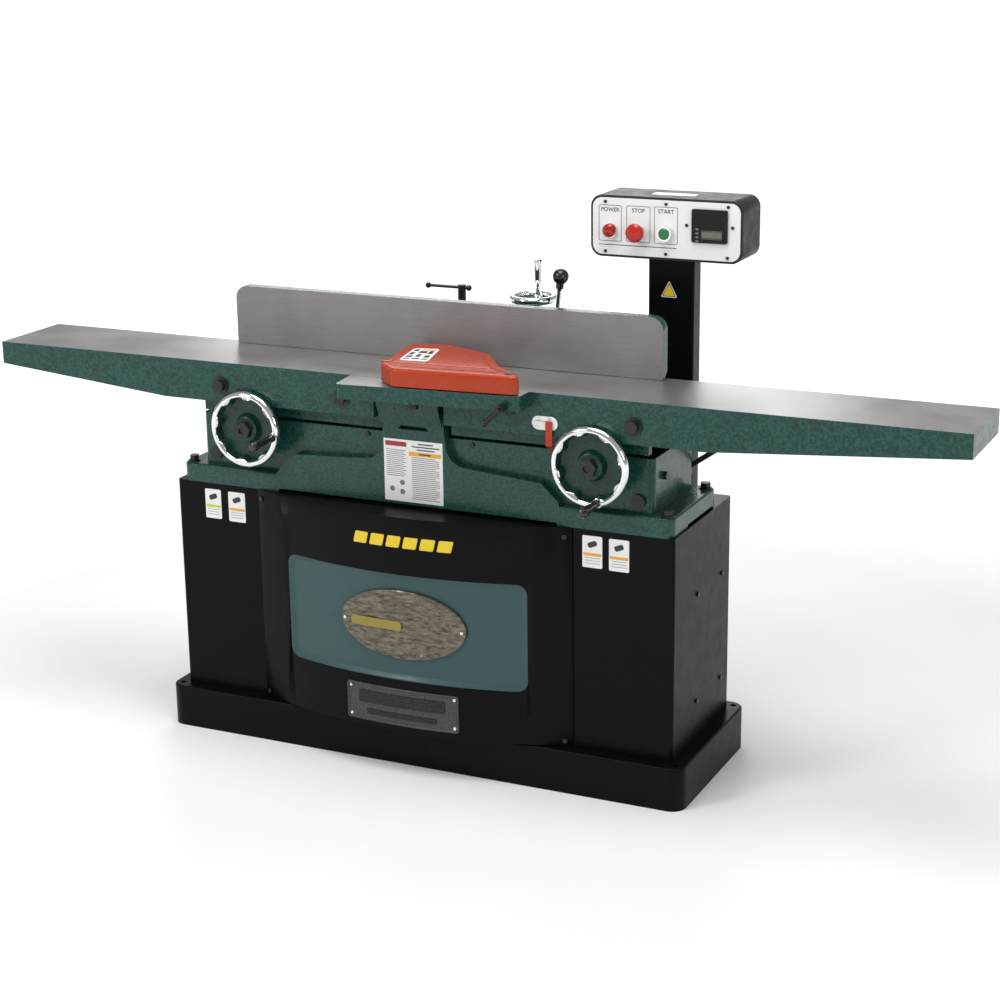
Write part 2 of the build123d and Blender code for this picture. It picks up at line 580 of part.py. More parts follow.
# ---------------------------------------------------------------- cutterhead and drive
HEAD_PULLEY_R, MOTOR_PULLEY_R = 28.0, 50.0
PULLEY_Y, BELT_Y = (91.0, 117.0), (94.5, 113.5)
MOTOR_Z = 290.0
INSERT_ROWS, INSERTS_PER_ROW = 4, 11


def insert_planes():
    """Planes on the seats of the cutter inserts, in rows that twist around the head."""
    spacing = (HEAD_REAR - HEAD_FRONT - 20) / (INSERTS_PER_ROW - 1)
    for row in range(INSERT_ROWS):
        for index in range(INSERTS_PER_ROW):
            y = HEAD_FRONT + 10 + spacing * index
            turn = math.radians(row * 360 / INSERT_ROWS + index * 7)
            out = (math.sin(turn), 0, math.cos(turn))
            yield Plane(origin=(HEAD_X + 33.5 * out[0], y, HEAD_Z + 33.5 * out[2]),
                        x_dir=(0, 1, 0), z_dir=out)


def make_cutterhead():
    with BuildPart() as cutterhead:
        barrel(HEAD_X, HEAD_Z, 37, (HEAD_FRONT, HEAD_REAR))
        for seat in insert_planes():
            with BuildSketch(seat):
                Rectangle(14, 14)
            extrude(amount=6, mode=Mode.SUBTRACT)
        barrel(HEAD_X, HEAD_Z, 18, (HEAD_REAR - 5, 58))
        barrel(HEAD_X, HEAD_Z, JOURNAL_R, (TABLE_FRONT + 1, HEAD_FRONT + 5))
        barrel(HEAD_X, HEAD_Z, JOURNAL_R, (57, PULLEY_Y[0]))
    save(cutterhead, "cutterhead")

    with BuildPart() as cutter_inserts:
        for seat in insert_planes():
            with BuildSketch(seat):
                Rectangle(14, 14)
            extrude(amount=5)
    save(cutter_inserts, "cutter_inserts")

    with BuildPart() as bearing_blocks:
        for y in ((TABLE_FRONT, HEAD_FRONT - 2), (60, 80)):
            block((HEAD_X - 32, HEAD_X + 32), y, (BLOCK_SEAT, HEAD_Z))
            barrel(HEAD_X, HEAD_Z, 26, y)
        slope_corbel()
        for y in ((TABLE_FRONT, HEAD_FRONT - 2), (60, 80)):
            barrel(HEAD_X, HEAD_Z, JOURNAL_R + FIT, (y[0] - 1, y[1] + 1), Mode.SUBTRACT)
    save(bearing_blocks, "bearing_blocks")

    with BuildPart() as cutterhead_pulley:
        barrel(HEAD_X, HEAD_Z, HEAD_PULLEY_R, PULLEY_Y)
        for y in ((PULLEY_Y[0], 94), (114, PULLEY_Y[1])):
            barrel(HEAD_X, HEAD_Z, HEAD_PULLEY_R + 6, y)
    save(cutterhead_pulley, "cutterhead_pulley")


def make_drive():
    with BuildPart() as drive_belt:
        for grow, mode in ((5.8, Mode.ADD), (0.3, Mode.SUBTRACT)):
            with BuildSketch(across(BELT_Y[1])):
                with Locations((HEAD_X, HEAD_Z)):
                    Circle(HEAD_PULLEY_R + grow)
                with Locations((HEAD_X, MOTOR_Z)):
                    Circle(MOTOR_PULLEY_R + grow)
                make_hull()
            extrude(amount=BELT_Y[1] - BELT_Y[0], mode=mode)
    save(drive_belt, "drive_belt")

    with BuildPart() as motor:
        barrel(HEAD_X, MOTOR_Z, 82, (-118, 72))
        barrel(HEAD_X, MOTOR_Z, 70, (-132, -118))
        with BuildSketch(across(56)):
            with Locations((HEAD_X, MOTOR_Z)):
                with PolarLocations(82, 24):
                    Rectangle(8, 3)
        extrude(amount=150)
        barrel(HEAD_X, MOTOR_Z, 12 + FIT, (40, 73), Mode.SUBTRACT)
        block((HEAD_X + 30, HEAD_X + 90), (-90, 30), (MOTOR_Z + 20, MOTOR_Z + 80))
        block((HEAD_X - 90, HEAD_X + 90), (-110, 60), (MOTOR_Z - 96, MOTOR_Z - 88))
        for x in (-70, 46):
            block((HEAD_X + x, HEAD_X + x + 24), (-100, 50), (MOTOR_Z - 90, MOTOR_Z - 50))
        for x in (-88, 64):
            block((HEAD_X + x, HEAD_X + x + 24), (-105, 55), (PLINTH_Z, MOTOR_Z - 95))
    save(motor, "motor")

    with BuildPart() as motor_pulley:
        barrel(HEAD_X, MOTOR_Z, 12, (42, PULLEY_Y[1]))
        barrel(HEAD_X, MOTOR_Z, MOTOR_PULLEY_R, PULLEY_Y)
        for y in ((PULLEY_Y[0], 94), (114, PULLEY_Y[1])):
            barrel(HEAD_X, MOTOR_Z, MOTOR_PULLEY_R + 6, y)
    save(motor_pulley, "motor_pulley")

    with BuildPart() as belt_guard:
        block((-62, 74), (87, 126), (CABINET_Z, 818))
        block((-60, 72), (89, 124), (CABINET_Z - 1, 816), Mode.SUBTRACT)
        barrel(HEAD_X, HEAD_Z, 20, (86, 90), Mode.SUBTRACT)
        fillet(belt_guard.edges().filter_by(Axis.Y).sort_by(Axis.Z)[-2:], 12)
    save(belt_guard, "belt_guard")

    port_x, port_z, port_r = -190, 450, 50.8
    duct = ((58, 548), (-46, 548), (-110, 520), (-246, 520), (-246, 388), (-160, 388), (58, 522))
    with BuildPart() as dust_chute:
        with BuildSketch(across(50)):
            Polygon(*duct, align=None)
        extrude(amount=183)
        with BuildSketch(across(48)):
            Polygon(*duct, align=None)
            offset(amount=-2, mode=Mode.REPLACE)
        extrude(amount=179, mode=Mode.SUBTRACT)
        block((-44, 56), (-131, 48), (530, 549), Mode.SUBTRACT)
        barrel(port_x, port_z, port_r - 0.8, (48, CABINET_Y + 1))
        barrel(port_x, port_z, port_r + 10, (CABINET_Y, CABINET_Y + 3))
        barrel(port_x, port_z, port_r, (CABINET_Y + 2, CABINET_Y + 43))
        barrel(port_x, port_z, port_r - 2.5, (40, CABINET_Y + 44), Mode.SUBTRACT)
    save(dust_chute, "dust_chute")


# ---------------------------------------------------------------- fence
def make_fence():
    with BuildPart() as fence_plate:
        with BuildSketch(along(FENCE_X[0])):
            Polygon((FENCE_FACE, FENCE_LOW), (7, FENCE_LOW), (FENCE_BACK, FENCE_LOW + 15),
                    (FENCE_BACK, FENCE_TOP), (FENCE_FACE, FENCE_TOP), align=None)
        extrude(amount=FENCE_X[1] - FENCE_X[0])
        corners = fence_plate.edges().filter_by(Axis.Y).group_by(Axis.Z)[-1]
        fillet(corners, 26)
        pockets = 6
        pitch = (FENCE_X[1] - FENCE_X[0] - 24) / pockets
        for index in range(pockets):
            low = FENCE_X[0] + 24 + pitch * index
            block((low, low + pitch - 24), (FENCE_BACK - 10, FENCE_BACK + 1),
                  (FENCE_LOW + 40, FENCE_TOP - 14), Mode.SUBTRACT)
        for x in ARMS_X:
            with BuildSketch(along(x - 6.5)):
                Polygon((0.6, 815), (0.6, 832), (3, 834), (22.5, 854), (40, 854), (40, 815),
                        align=None)
            extrude(amount=13, mode=Mode.SUBTRACT)
            with BuildSketch(along(x - 14)):
                with Locations((TILT_Y, TILT_Z)):
                    Circle(TILT_PIN_R)
            extrude(amount=28, mode=Mode.SUBTRACT)
    save(fence_plate, "fence_plate")

    with BuildPart() as fence_hinge_pins:
        for x in ARMS_X:
            with BuildSketch(along(x - 14)):
                with Locations((TILT_Y, TILT_Z)):
                    Circle(TILT_PIN_R)
            extrude(amount=28)
    save(fence_hinge_pins, "fence_hinge_pins")


LOCK_POST_X, HANDLES_Y = -16.0, 112.0
T_BAR_Z, T_BAR_R = 950.5, 3.2
TILT_LEVER_X, TILT_LEVER_Z = 197.0, 888.0


def make_carriage():
    guide_x, guide_y, guide_z = (84, 215), (172, 300), (758, 835)
    with BuildPart() as fence_carriage:
        block(CARRIAGE_X, CARRIAGE_Y, CARRIAGE_Z)
        fillet(fence_carriage.faces().sort_by(Axis.Z)[-1].edges(), 8)
        block(guide_x, guide_y, guide_z)
        for x in ARMS_X:
            block((x - 6, x + 6), (TILT_Y, CARRIAGE_Y[0] + 1), (TILT_Z - 5.2, TILT_Z + 3))
            with BuildSketch(along(x - 6)):
                with Locations((TILT_Y, TILT_Z)):
                    Circle(4.8)
            extrude(amount=12)
            with BuildSketch(along(x - 7)):
                with Locations((TILT_Y, TILT_Z)):
                    Circle(TILT_PIN_R + FIT)
            extrude(amount=14, mode=Mode.SUBTRACT)
        block((124.9, RAIL_X[1] + FIT), (160, 310), (RAIL_Z[0] - FIT, RAIL_Z[1] + FIT),
              Mode.SUBTRACT)
        block((136, 178), (160, 310), (750, 771), Mode.SUBTRACT)
        column(FENCE_WHEEL_X, FENCE_WHEEL_Y, 19, (774, 808), Mode.SUBTRACT)
        column(FENCE_WHEEL_X, FENCE_WHEEL_Y, 6 + FIT, (770, 890), Mode.SUBTRACT)
        column(LOCK_POST_X, HANDLES_Y, 6 + FIT, (850, 890), Mode.SUBTRACT)
        for x in (TILT_LEVER_X - 12, TILT_LEVER_X + 7):
            block((x, x + 5), (HANDLES_Y - 7, HANDLES_Y + 7), (CARRIAGE_Z[1] - 2, TILT_LEVER_Z + 8))
        with BuildSketch(along(TILT_LEVER_X - 12)):
            with Locations((HANDLES_Y, TILT_LEVER_Z)):
                Circle(3)
        extrude(amount=24)
    save(fence_carriage, "fence_carriage")

    with BuildPart() as fence_rail:
        block(RAIL_X, RAIL_Y, RAIL_Z)
        rack_pitch = math.pi * GEAR_MODULE
        first = FENCE_WHEEL_Y - rack_pitch * (RACK_TEETH // 2 + 0.5)
        with BuildSketch(level(776)):
            for index in range(RACK_TEETH + 1):
                y = first + rack_pitch * index
                Polygon((RAIL_X[0] + 1, y - 1.95), (RACK_PITCH_X - 1.6, y - 0.7),
                        (RACK_PITCH_X - 1.6, y + 0.7), (RAIL_X[0] + 1, y + 1.95), align=None)
        extrude(amount=30)
        block((140, 174), (BED_REAR, 100), (640, RAIL_Z[0]))
        block((112, 202), (BED_REAR, BED_REAR + 12), (602, 694))
    save(fence_rail, "fence_rail")

    pitch_r = GEAR_MODULE * FENCE_PINION_TEETH / 2
    with BuildPart() as fence_pinion:
        with BuildSketch(level(776)):
            with Locations((FENCE_WHEEL_X, FENCE_WHEEL_Y)):
                Circle(pitch_r - 1.25 * GEAR_MODULE)
                for index in range(FENCE_PINION_TEETH):
                    angle = index * 360 / FENCE_PINION_TEETH
                    Polygon(*gear_tooth(pitch_r, angle), align=None)
        extrude(amount=30)
        column(FENCE_WHEEL_X, FENCE_WHEEL_Y, 6, (771, 912))
    save(fence_pinion, "fence_pinion")

    with BuildPart() as fence_handwheel:
        rim_z = 923
        with BuildSketch(Plane(origin=(FENCE_WHEEL_X, FENCE_WHEEL_Y, 0), x_dir=(1, 0, 0),
                               z_dir=(0, -1, 0))):
            with Locations((43.5, rim_z)):
                Ellipse(6.5, 8)
        revolve(axis=Axis((FENCE_WHEEL_X, FENCE_WHEEL_Y, 0), (0, 0, 1)))
        spun(FENCE_WHEEL_X, FENCE_WHEEL_Y,
             ((6 + FIT, 880.4), (12, 880.4), (12, 905), (20, 909), (41, 917), (41, 922), (20, 915),
              (12, 916), (6 + FIT, 916)))
        column(FENCE_WHEEL_X, FENCE_WHEEL_Y + 26, 8, (911, 925))
        column(FENCE_WHEEL_X, FENCE_WHEEL_Y + 26, SPINDLE_R, (920, 995))
    save(fence_handwheel, "fence_handwheel")

    with BuildPart() as fence_wheel_grip:
        spun(FENCE_WHEEL_X, FENCE_WHEEL_Y + 26,
             ((0, 925.4), (5, 925.4), (4.6, 934), (5.2, 945), (7.6, 990), (7.6, 998), (6, 1001),
              (0, 1001)))
        column(FENCE_WHEEL_X, FENCE_WHEEL_Y + 26, SPINDLE_R + FIT, (924, 995.5), Mode.SUBTRACT)
    save(fence_wheel_grip, "fence_wheel_grip")

    with BuildPart() as fence_lock_post:
        column(LOCK_POST_X, HANDLES_Y, 6, (852, 882))
        column(LOCK_POST_X, HANDLES_Y, 12, (880.3, 886))
        column(LOCK_POST_X, HANDLES_Y, 8.5, (884, 957))
        with BuildSketch(along(LOCK_POST_X - 12)):
            with Locations((HANDLES_Y, T_BAR_Z)):
                Circle(T_BAR_R + FIT)
        extrude(amount=24, mode=Mode.SUBTRACT)
    save(fence_lock_post, "fence_lock_post")

    with BuildPart() as fence_lock_bar:
        for way in (-1, 1):
            ball_rod((-47, HANDLES_Y, T_BAR_Z), (way, 0, 0), 47, T_BAR_R, 6.2)
    save(fence_lock_bar, "fence_lock_bar")

    knob = (208.0, HANDLES_Y, 988.0)
    with BuildPart() as tilt_lever:
        lean = Plane(origin=(TILT_LEVER_X, HANDLES_Y, TILT_LEVER_Z),
                     z_dir=(knob[0] - TILT_LEVER_X, 0, knob[2] - TILT_LEVER_Z))
        reach = math.dist((TILT_LEVER_X, HANDLES_Y, TILT_LEVER_Z), knob)
        ball_rod(tuple(lean.origin), tuple(lean.z_dir), reach, 4.6, 16.4)
        with BuildSketch(lean.offset(76)):
            Circle(8)
        extrude(amount=12)
        with BuildSketch(along(TILT_LEVER_X - 6.6)):
            with Locations((HANDLES_Y, TILT_LEVER_Z)):
                Circle(7.6)
        extrude(amount=13.2)
        with BuildSketch(along(TILT_LEVER_X - 8)):
            with Locations((HANDLES_Y, TILT_LEVER_Z)):
                Circle(3 + FIT)
        extrude(amount=16, mode=Mode.SUBTRACT)
    save(tilt_lever, "tilt_lever")


# ---------------------------------------------------------------- cutterhead guard
GUARD_OUTLINE = ((-67, -28), (4, -8), (70, -30), (133, -62), (190, -146), (252, -200),
                 (266, -221), (253, -230), (7, -252), (-38, -212))


def make_guard():
    with BuildPart() as blade_guard:
        with BuildSketch(level(GUARD_Z[0])):
            Polygon(*GUARD_OUTLINE, align=None)
        extrude(amount=GUARD_Z[1] - GUARD_Z[0])
        fillet(blade_guard.edges().filter_by(Axis.Z), 5)
        fillet(blade_guard.faces().sort_by(Axis.Z)[-1].edges(), 2.5)
        offset(amount=-4, openings=blade_guard.faces().sort_by(Axis.Z)[0])
        block((-80, 60), (TABLE_FRONT - 3, 0), (GUARD_Z[0] - 1, GUARD_RELIEF_Z), Mode.SUBTRACT)
        column(PIVOT_X, PIVOT_Y, 13, (GUARD_Z[0] + 0.4, GUARD_Z[1] - 3))
        column(PIVOT_X, PIVOT_Y, 8 + FIT, (GUARD_Z[0] - 1, 850), Mode.SUBTRACT)
        column(PIVOT_X, PIVOT_Y, 6, (GUARD_Z[1] - 2, GUARD_Z[1] + 1), Mode.SUBTRACT)
    save(blade_guard, "blade_guard")

    with BuildPart() as guard_post:
        column(PIVOT_X, PIVOT_Y, 8, (778, 849.5))
        column(PIVOT_X, PIVOT_Y, 12, (781, TABLE_Z - 30.4))
    save(guard_post, "guard_post")

    hub_x, hub_z, face_y = 238.0, 797.0, -233.0
    with BuildPart() as guard_lock_lever:
        barrel(hub_x, hub_z, 8, (face_y - 24, face_y - 0.6))
        barrel(hub_x, hub_z, 4, (face_y - 30, face_y - 20))
        ball_rod((hub_x - 3, face_y - 17, hub_z - 3), (-0.72, -0.06, -0.66), 41, 5.2, 6.5)
    save(guard_lock_lever, "guard_lock_lever")


# ---------------------------------------------------------------- control box
BUTTON_Z = 1075.5
LAMP_X, STOP_X, START_X = 285.0, 346.0, 405.0


def make_control_box():
    with BuildPart() as control_box:
        with BuildSketch(across(BOX_Y[1])):
            with Locations((sum(BOX_X) / 2, sum(BOX_Z) / 2)):
                RectangleRounded(BOX_X[1] - BOX_X[0], BOX_Z[1] - BOX_Z[0], 24)
        extrude(amount=BOX_Y[1] - BOX_Y[0])
        with BuildSketch(across(BOX_Y[1] - 3)):
            with Locations((sum(BOX_X) / 2, sum(BOX_Z) / 2)):
                RectangleRounded(BOX_X[1] - BOX_X[0] - 6, BOX_Z[1] - BOX_Z[0] - 6, 21)
        extrude(amount=BOX_Y[1] - BOX_Y[0] - 6, mode=Mode.SUBTRACT)
        for x in (LAMP_X, STOP_X, START_X):
            barrel(x, BUTTON_Z, 11.2, (BOX_Y[0] - 1, BOX_Y[0] + 4), Mode.SUBTRACT)
        column(323, 250, 9, (BOX_Z[0] - 10, BOX_Z[0]))
    save(control_box, "control_box")

    with BuildPart() as control_panel:
        with BuildSketch(across(BOX_Y[0])):
            with Locations((sum(BOX_X) / 2, sum(BOX_Z) / 2)):
                RectangleRounded(BOX_X[1] - BOX_X[0] - 10, BOX_Z[1] - BOX_Z[0] - 10, 20)
        extrude(amount=2)
        for x in (LAMP_X, STOP_X, START_X):
            barrel(x, BUTTON_Z, 11.2, (BOX_Y[0] - 3, BOX_Y[0] + 1), Mode.SUBTRACT)
    save(control_panel, "control_panel")

    face = BOX_Y[0] - 2
    with BuildPart() as button_collars:
        for x, outer, inner, depth in ((LAMP_X, 15.5, 11, 5), (STOP_X, 15, 9.6, 8),
                                       (START_X, 15.5, 11.9, 11)):
            barrel(x, BUTTON_Z, outer, (face - depth, face))
            barrel(x, BUTTON_Z, inner, (face - depth - 1, face + 1), Mode.SUBTRACT)
        for x, inner in ((LAMP_X, 9), (STOP_X, 9.6), (START_X, 11)):
            barrel(x, BUTTON_Z, 11.2 - FIT, (face, BOX_Y[0] + 20))
            barrel(x, BUTTON_Z, 9.6, (face - 1, BOX_Y[0] + 21), Mode.SUBTRACT)
    save(button_collars, "button_collars")

    with BuildPart() as power_lamp:
        barrel(LAMP_X, BUTTON_Z, 9.6 - FIT, (face, BOX_Y[0] + 18))
        turned(LAMP_X, BUTTON_Z, ((0, face), (11, face), (11, face - 5), (14, face - 5),
                                  (14, face - 9), (10, face - 14), (0, face - 16)))
    save(power_lamp, "power_lamp")

    with BuildPart() as stop_button:
        barrel(STOP_X, BUTTON_Z, 9.6 - FIT, (face - 20, BOX_Y[0] + 12))
        turned(STOP_X, BUTTON_Z, ((0, face - 12), (13, face - 13), (19, face - 19),
                                  (19, face - 23), (15, face - 28), (0, face - 30)))
    save(stop_button, "stop_button")

    with BuildPart() as start_button:
        barrel(START_X, BUTTON_Z, 9.6 - FIT, (face - 3, BOX_Y[0] + 12))
        turned(START_X, BUTTON_Z, ((0, face - 4.5), (11.6, face - 4.5), (11.6, face - 12),
                                   (10, face - 14), (0, face - 14)))
        barrel(START_X, BUTTON_Z, 9.6 - FIT, (face - 6, face - 2))
    save(start_button, "start_button")

    with BuildPart() as display_module:
        with BuildSketch(across(face)):
            with Locations((499, 1094.5)):
                RectangleRounded(75, 67, 4)
        extrude(amount=5)
        with BuildSketch(across(face - 4)):
            with Locations((504, 1077.5)):
                Rectangle(42, 15)
        extrude(amount=2, mode=Mode.SUBTRACT)
    save(display_module, "display_module")


make_plinth()
make_cabinet()
make_front_cover()
make_screws()
make_control_post()
make_bed()
make_tables()
make_raising_gear()
make_cutterhead()
make_drive()
make_fence()
make_carriage()
make_guard()
make_control_box()
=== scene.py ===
"""Visual model of the jointer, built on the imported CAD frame. Metres, same frame as the CAD."""
import math
import bmesh
import bpy
from mathutils import Matrix, Vector, noise


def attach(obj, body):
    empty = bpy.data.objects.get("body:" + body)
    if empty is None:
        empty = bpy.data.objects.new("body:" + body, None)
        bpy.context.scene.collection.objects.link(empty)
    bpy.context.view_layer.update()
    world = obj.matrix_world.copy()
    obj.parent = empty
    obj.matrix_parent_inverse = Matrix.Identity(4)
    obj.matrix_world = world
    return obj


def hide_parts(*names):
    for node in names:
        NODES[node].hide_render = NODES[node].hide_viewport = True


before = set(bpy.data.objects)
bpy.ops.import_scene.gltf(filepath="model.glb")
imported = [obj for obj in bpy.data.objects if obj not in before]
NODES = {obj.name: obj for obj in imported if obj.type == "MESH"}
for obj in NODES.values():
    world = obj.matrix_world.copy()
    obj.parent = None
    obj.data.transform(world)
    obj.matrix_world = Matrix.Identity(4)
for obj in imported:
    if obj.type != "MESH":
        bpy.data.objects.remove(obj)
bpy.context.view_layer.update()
MM = 0.001


# ------------------------------------------------------------------ materials
class Graph:
    """A Principled material and short calls that add procedural patterns to it."""

    def __init__(self, name, rough=0.4, metal=0.0, coat=0.0, coat_rough=0.1, specular=0.5):
        self.material = bpy.data.materials.new(name)
        self.material.use_nodes = True
        self.tree = self.material.node_tree
        self.tree.nodes.clear()
        self.shader = self.add("ShaderNodeBsdfPrincipled")
        output = self.add("ShaderNodeOutputMaterial")
        self.tree.links.new(self.shader.outputs["BSDF"], output.inputs["Surface"])
        self.coords = self.add("ShaderNodeTexCoord")
        self.shader.inputs["Roughness"].default_value = rough
        self.shader.inputs["Metallic"].default_value = metal
        self.shader.inputs["Coat Weight"].default_value = coat
        self.shader.inputs["Coat Roughness"].default_value = coat_rough
        self.shader.inputs["Specular IOR Level"].default_value = specular

    def add(self, kind, **settings):
        made = self.tree.nodes.new(kind)
        for key, value in settings.items():
            setattr(made, key, value)
        return made

    def feed(self, socket, value):
        """Links a socket, or sets it where the value is plain."""
        if isinstance(value, bpy.types.NodeSocket):
            self.tree.links.new(value, socket)
        else:
            socket.default_value = value

    def place(self, stretch):
        mapping = self.add("ShaderNodeMapping")
        self.tree.links.new(self.coords.outputs["Object"], mapping.inputs["Vector"])
        mapping.inputs["Scale"].default_value = stretch
        return mapping.outputs["Vector"]

    def noise(self, scale, stretch=(1, 1, 1), detail=4.0, rough=0.55):
        made = self.add("ShaderNodeTexNoise")
        self.tree.links.new(self.place(stretch), made.inputs["Vector"])
        made.inputs["Scale"].default_value = scale
        made.inputs["Detail"].default_value = detail
        made.inputs["Roughness"].default_value = rough
        return made.outputs["Fac"]

    def cells(self, scale, stretch=(1, 1, 1), feature="SMOOTH_F1"):
        made = self.add("ShaderNodeTexVoronoi", feature=feature)
        self.tree.links.new(self.place(stretch), made.inputs["Vector"])
        made.inputs["Scale"].default_value = scale
        return made.outputs["Distance"]

    def math(self, operation, a, b=0.0, clamp=False):
        made = self.add("ShaderNodeMath", operation=operation, use_clamp=clamp)
        self.feed(made.inputs[0], a)
        self.feed(made.inputs[1], b)
        return made.outputs[0]

    def remap(self, source, low, high, out_low, out_high):
        made = self.add("ShaderNodeMapRange")
        self.feed(made.inputs["Value"], source)
        for key, value in (("From Min", low), ("From Max", high), ("To Min", out_low), ("To Max", out_high)):
            made.inputs[key].default_value = value
        return made.outputs["Result"]

    def mix(self, factor, a, b):
        made = self.add("ShaderNodeMix", data_type="RGBA")
        self.feed(made.inputs[0], factor)
        self.feed(made.inputs[6], (*a, 1.0) if isinstance(a, tuple) else a)
        self.feed(made.inputs[7], (*b, 1.0) if isinstance(b, tuple) else b)
        return made.outputs[2]

    def number(self, factor, a, b):
        made = self.add("ShaderNodeMix", data_type="FLOAT")
        self.feed(made.inputs[0], factor)
        self.feed(made.inputs[2], a)
        self.feed(made.inputs[3], b)
        return made.outputs[0]

    def colour(self, value):
        self.feed(self.shader.inputs["Base Color"], (*value, 1.0) if isinstance(value, tuple) else value)

    def rough(self, value):
        self.feed(self.shader.inputs["Roughness"], value)

    def bump(self, height, strength, distance):
        made = self.add("ShaderNodeBump")
        made.inputs["Strength"].default_value = strength
        made.inputs["Distance"].default_value = distance
        self.tree.links.new(height, made.inputs["Height"])
        self.tree.links.new(made.outputs["Normal"], self.shader.inputs["Normal"])
        return made

    def axis(self, output, index):
        split = self.add("ShaderNodeSeparateXYZ")
        self.tree.links.new(self.coords.outputs[output], split.inputs[0])
        return split.outputs[index]

    def above(self, source, limit):
        return self.math("GREATER_THAN", source, limit)


def shade(colour, amount):
    return tuple(min(1.0, channel * amount) for channel in colour)


def coated(name, colour, rough=0.35, coat=0.3, spread=0.12, grain=700.0, depth=0.00004, metal=0.0,
           specular=0.5):
    """Smooth paint or plastic: faint tone change, orange peel and smudged gloss."""
    graph = Graph(name, rough=rough, metal=metal, coat=coat, specular=specular)
    patches = graph.noise(9.0, detail=3.0)
    graph.colour(graph.mix(patches, shade(colour, 1.0 - spread), shade(colour, 1.0 + spread)))
    graph.rough(graph.remap(graph.noise(35.0, detail=5.0), 0.3, 0.7, rough * 0.85, rough * 1.2))
    graph.bump(graph.noise(grain, detail=2.0), 0.35, depth)
    return graph.material


HAMMER_DARK, HAMMER_LIGHT = (0.0045, 0.03, 0.0245), (0.019, 0.088, 0.073)


def hammer_nodes(graph, dark=HAMMER_DARK, light=HAMMER_LIGHT):
    """Colour, roughness and height of hammered enamel."""
    dimples = graph.cells(300.0)
    flecks = graph.remap(graph.noise(210.0, detail=2.0), 0.36, 0.66, 0.0, 1.0)
    cloud = graph.remap(graph.noise(12.0, detail=3.0), 0.3, 0.7, 0.0, 0.14)
    share = graph.math("ADD", graph.math("MULTIPLY", flecks, 0.75), cloud, True)
    tone = graph.mix(share, dark, light)
    rough = graph.remap(graph.noise(60.0), 0.3, 0.7, 0.2, 0.33)
    return tone, rough, dimples


def hammered(name, dark=HAMMER_DARK, light=HAMMER_LIGHT):
    graph = Graph(name, coat=0.15, coat_rough=0.12, specular=0.26)
    tone, rough, height = hammer_nodes(graph, dark, light)
    graph.colour(tone)
    graph.rough(rough)
    graph.bump(height, 0.5, 0.0005)
    return graph.material


def ground_nodes(graph, along, dark, light, gloss):
    """Colour, roughness and height of ground cast iron, with its marks along one axis."""
    across = [900.0, 900.0, 900.0]
    across["xyz".index(along)] = 9.0
    marks = graph.noise(1.0, stretch=tuple(across), detail=5.0, rough=0.65)
    cloud = graph.noise(7.0, detail=5.0, rough=0.6)
    pores = graph.cells(900.0)
    mixed = graph.math("ADD", graph.math("MULTIPLY", marks, 0.45), graph.math("MULTIPLY", cloud, 0.55), True)
    tone = graph.mix(graph.remap(mixed, 0.32, 0.68, 0.0, 1.0), dark, light)
    rough = graph.remap(graph.math("ADD", cloud, marks), 0.7, 1.3, *gloss)
    height = graph.math("ADD", marks, graph.math("MULTIPLY", pores, 0.25))
    return tone, rough, height


def ground_and_enamel(name, normal_axis, sign, along, dark, light, gloss, metal, limit=None):
    """Ground metal where faces look one way, hammered enamel elsewhere."""
    graph = Graph(name, specular=0.3)
    facing = graph.math("MULTIPLY", graph.axis("Normal", normal_axis), float(sign))
    mask = graph.above(facing, 0.93)
    if limit is not None:
        mask = graph.math("MULTIPLY", mask, graph.above(graph.axis("Object", 2), limit))
    metal_tone, metal_rough, metal_height = ground_nodes(graph, along, dark, light, gloss)
    tone, rough, height = hammer_nodes(graph)
    graph.colour(graph.mix(mask, tone, metal_tone))
    graph.rough(graph.number(mask, rough, metal_rough))
    graph.feed(graph.shader.inputs["Metallic"], graph.math("MULTIPLY", mask, metal))
    deep = graph.math("MULTIPLY", height, 0.0005)
    fine = graph.math("MULTIPLY", metal_height, 0.00003)
    graph.bump(graph.number(mask, deep, fine), 0.6, 1.0)
    return graph.material


def turned_metal(name, colour, rough, metal=1.0, scale=500.0, spread=0.15):
    """Machined, plated or blackened metal: fine marks, smudges and small tone changes."""
    graph = Graph(name, rough=rough, metal=metal)
    cloud = graph.noise(30.0, detail=4.0)
    graph.colour(graph.mix(cloud, shade(colour, 1.0 - spread), shade(colour, 1.0 + spread)))
    graph.rough(graph.remap(graph.noise(90.0, detail=5.0), 0.3, 0.7, rough * 0.75, rough * 1.35))
    graph.bump(graph.noise(scale, detail=3.0), 0.3, 0.00003)
    return graph.material


def antique(name, dark, light, scale, rough=0.35, relief=0.00035, stretch=(1, 1, 1)):
    """Cast relief metal, dark in its hollows and rubbed bright on its high spots."""
    graph = Graph(name, rough=rough, metal=0.85)
    grain = graph.noise(scale, stretch, detail=8.0, rough=0.7)
    graph.colour(graph.mix(graph.remap(grain, 0.34, 0.66, 0.0, 1.0), dark, light))
    graph.rough(graph.remap(grain, 0.35, 0.65, rough * 1.6, rough * 0.8))
    graph.bump(grain, 0.5, relief)
    return graph.material


def printed(name, colour, rough=0.45):
    """Printed film or label: nearly even, with slight dirt and a soft sheen."""
    graph = Graph(name, rough=rough)
    dirt = graph.noise(45.0, detail=6.0)
    graph.colour(graph.mix(dirt, shade(colour, 0.93), shade(colour, 1.03)))
    graph.rough(graph.remap(dirt, 0.3, 0.7, rough * 0.85, rough * 1.15))
    graph.bump(graph.noise(900.0, detail=1.0), 0.15, 0.00002)
    return graph.material


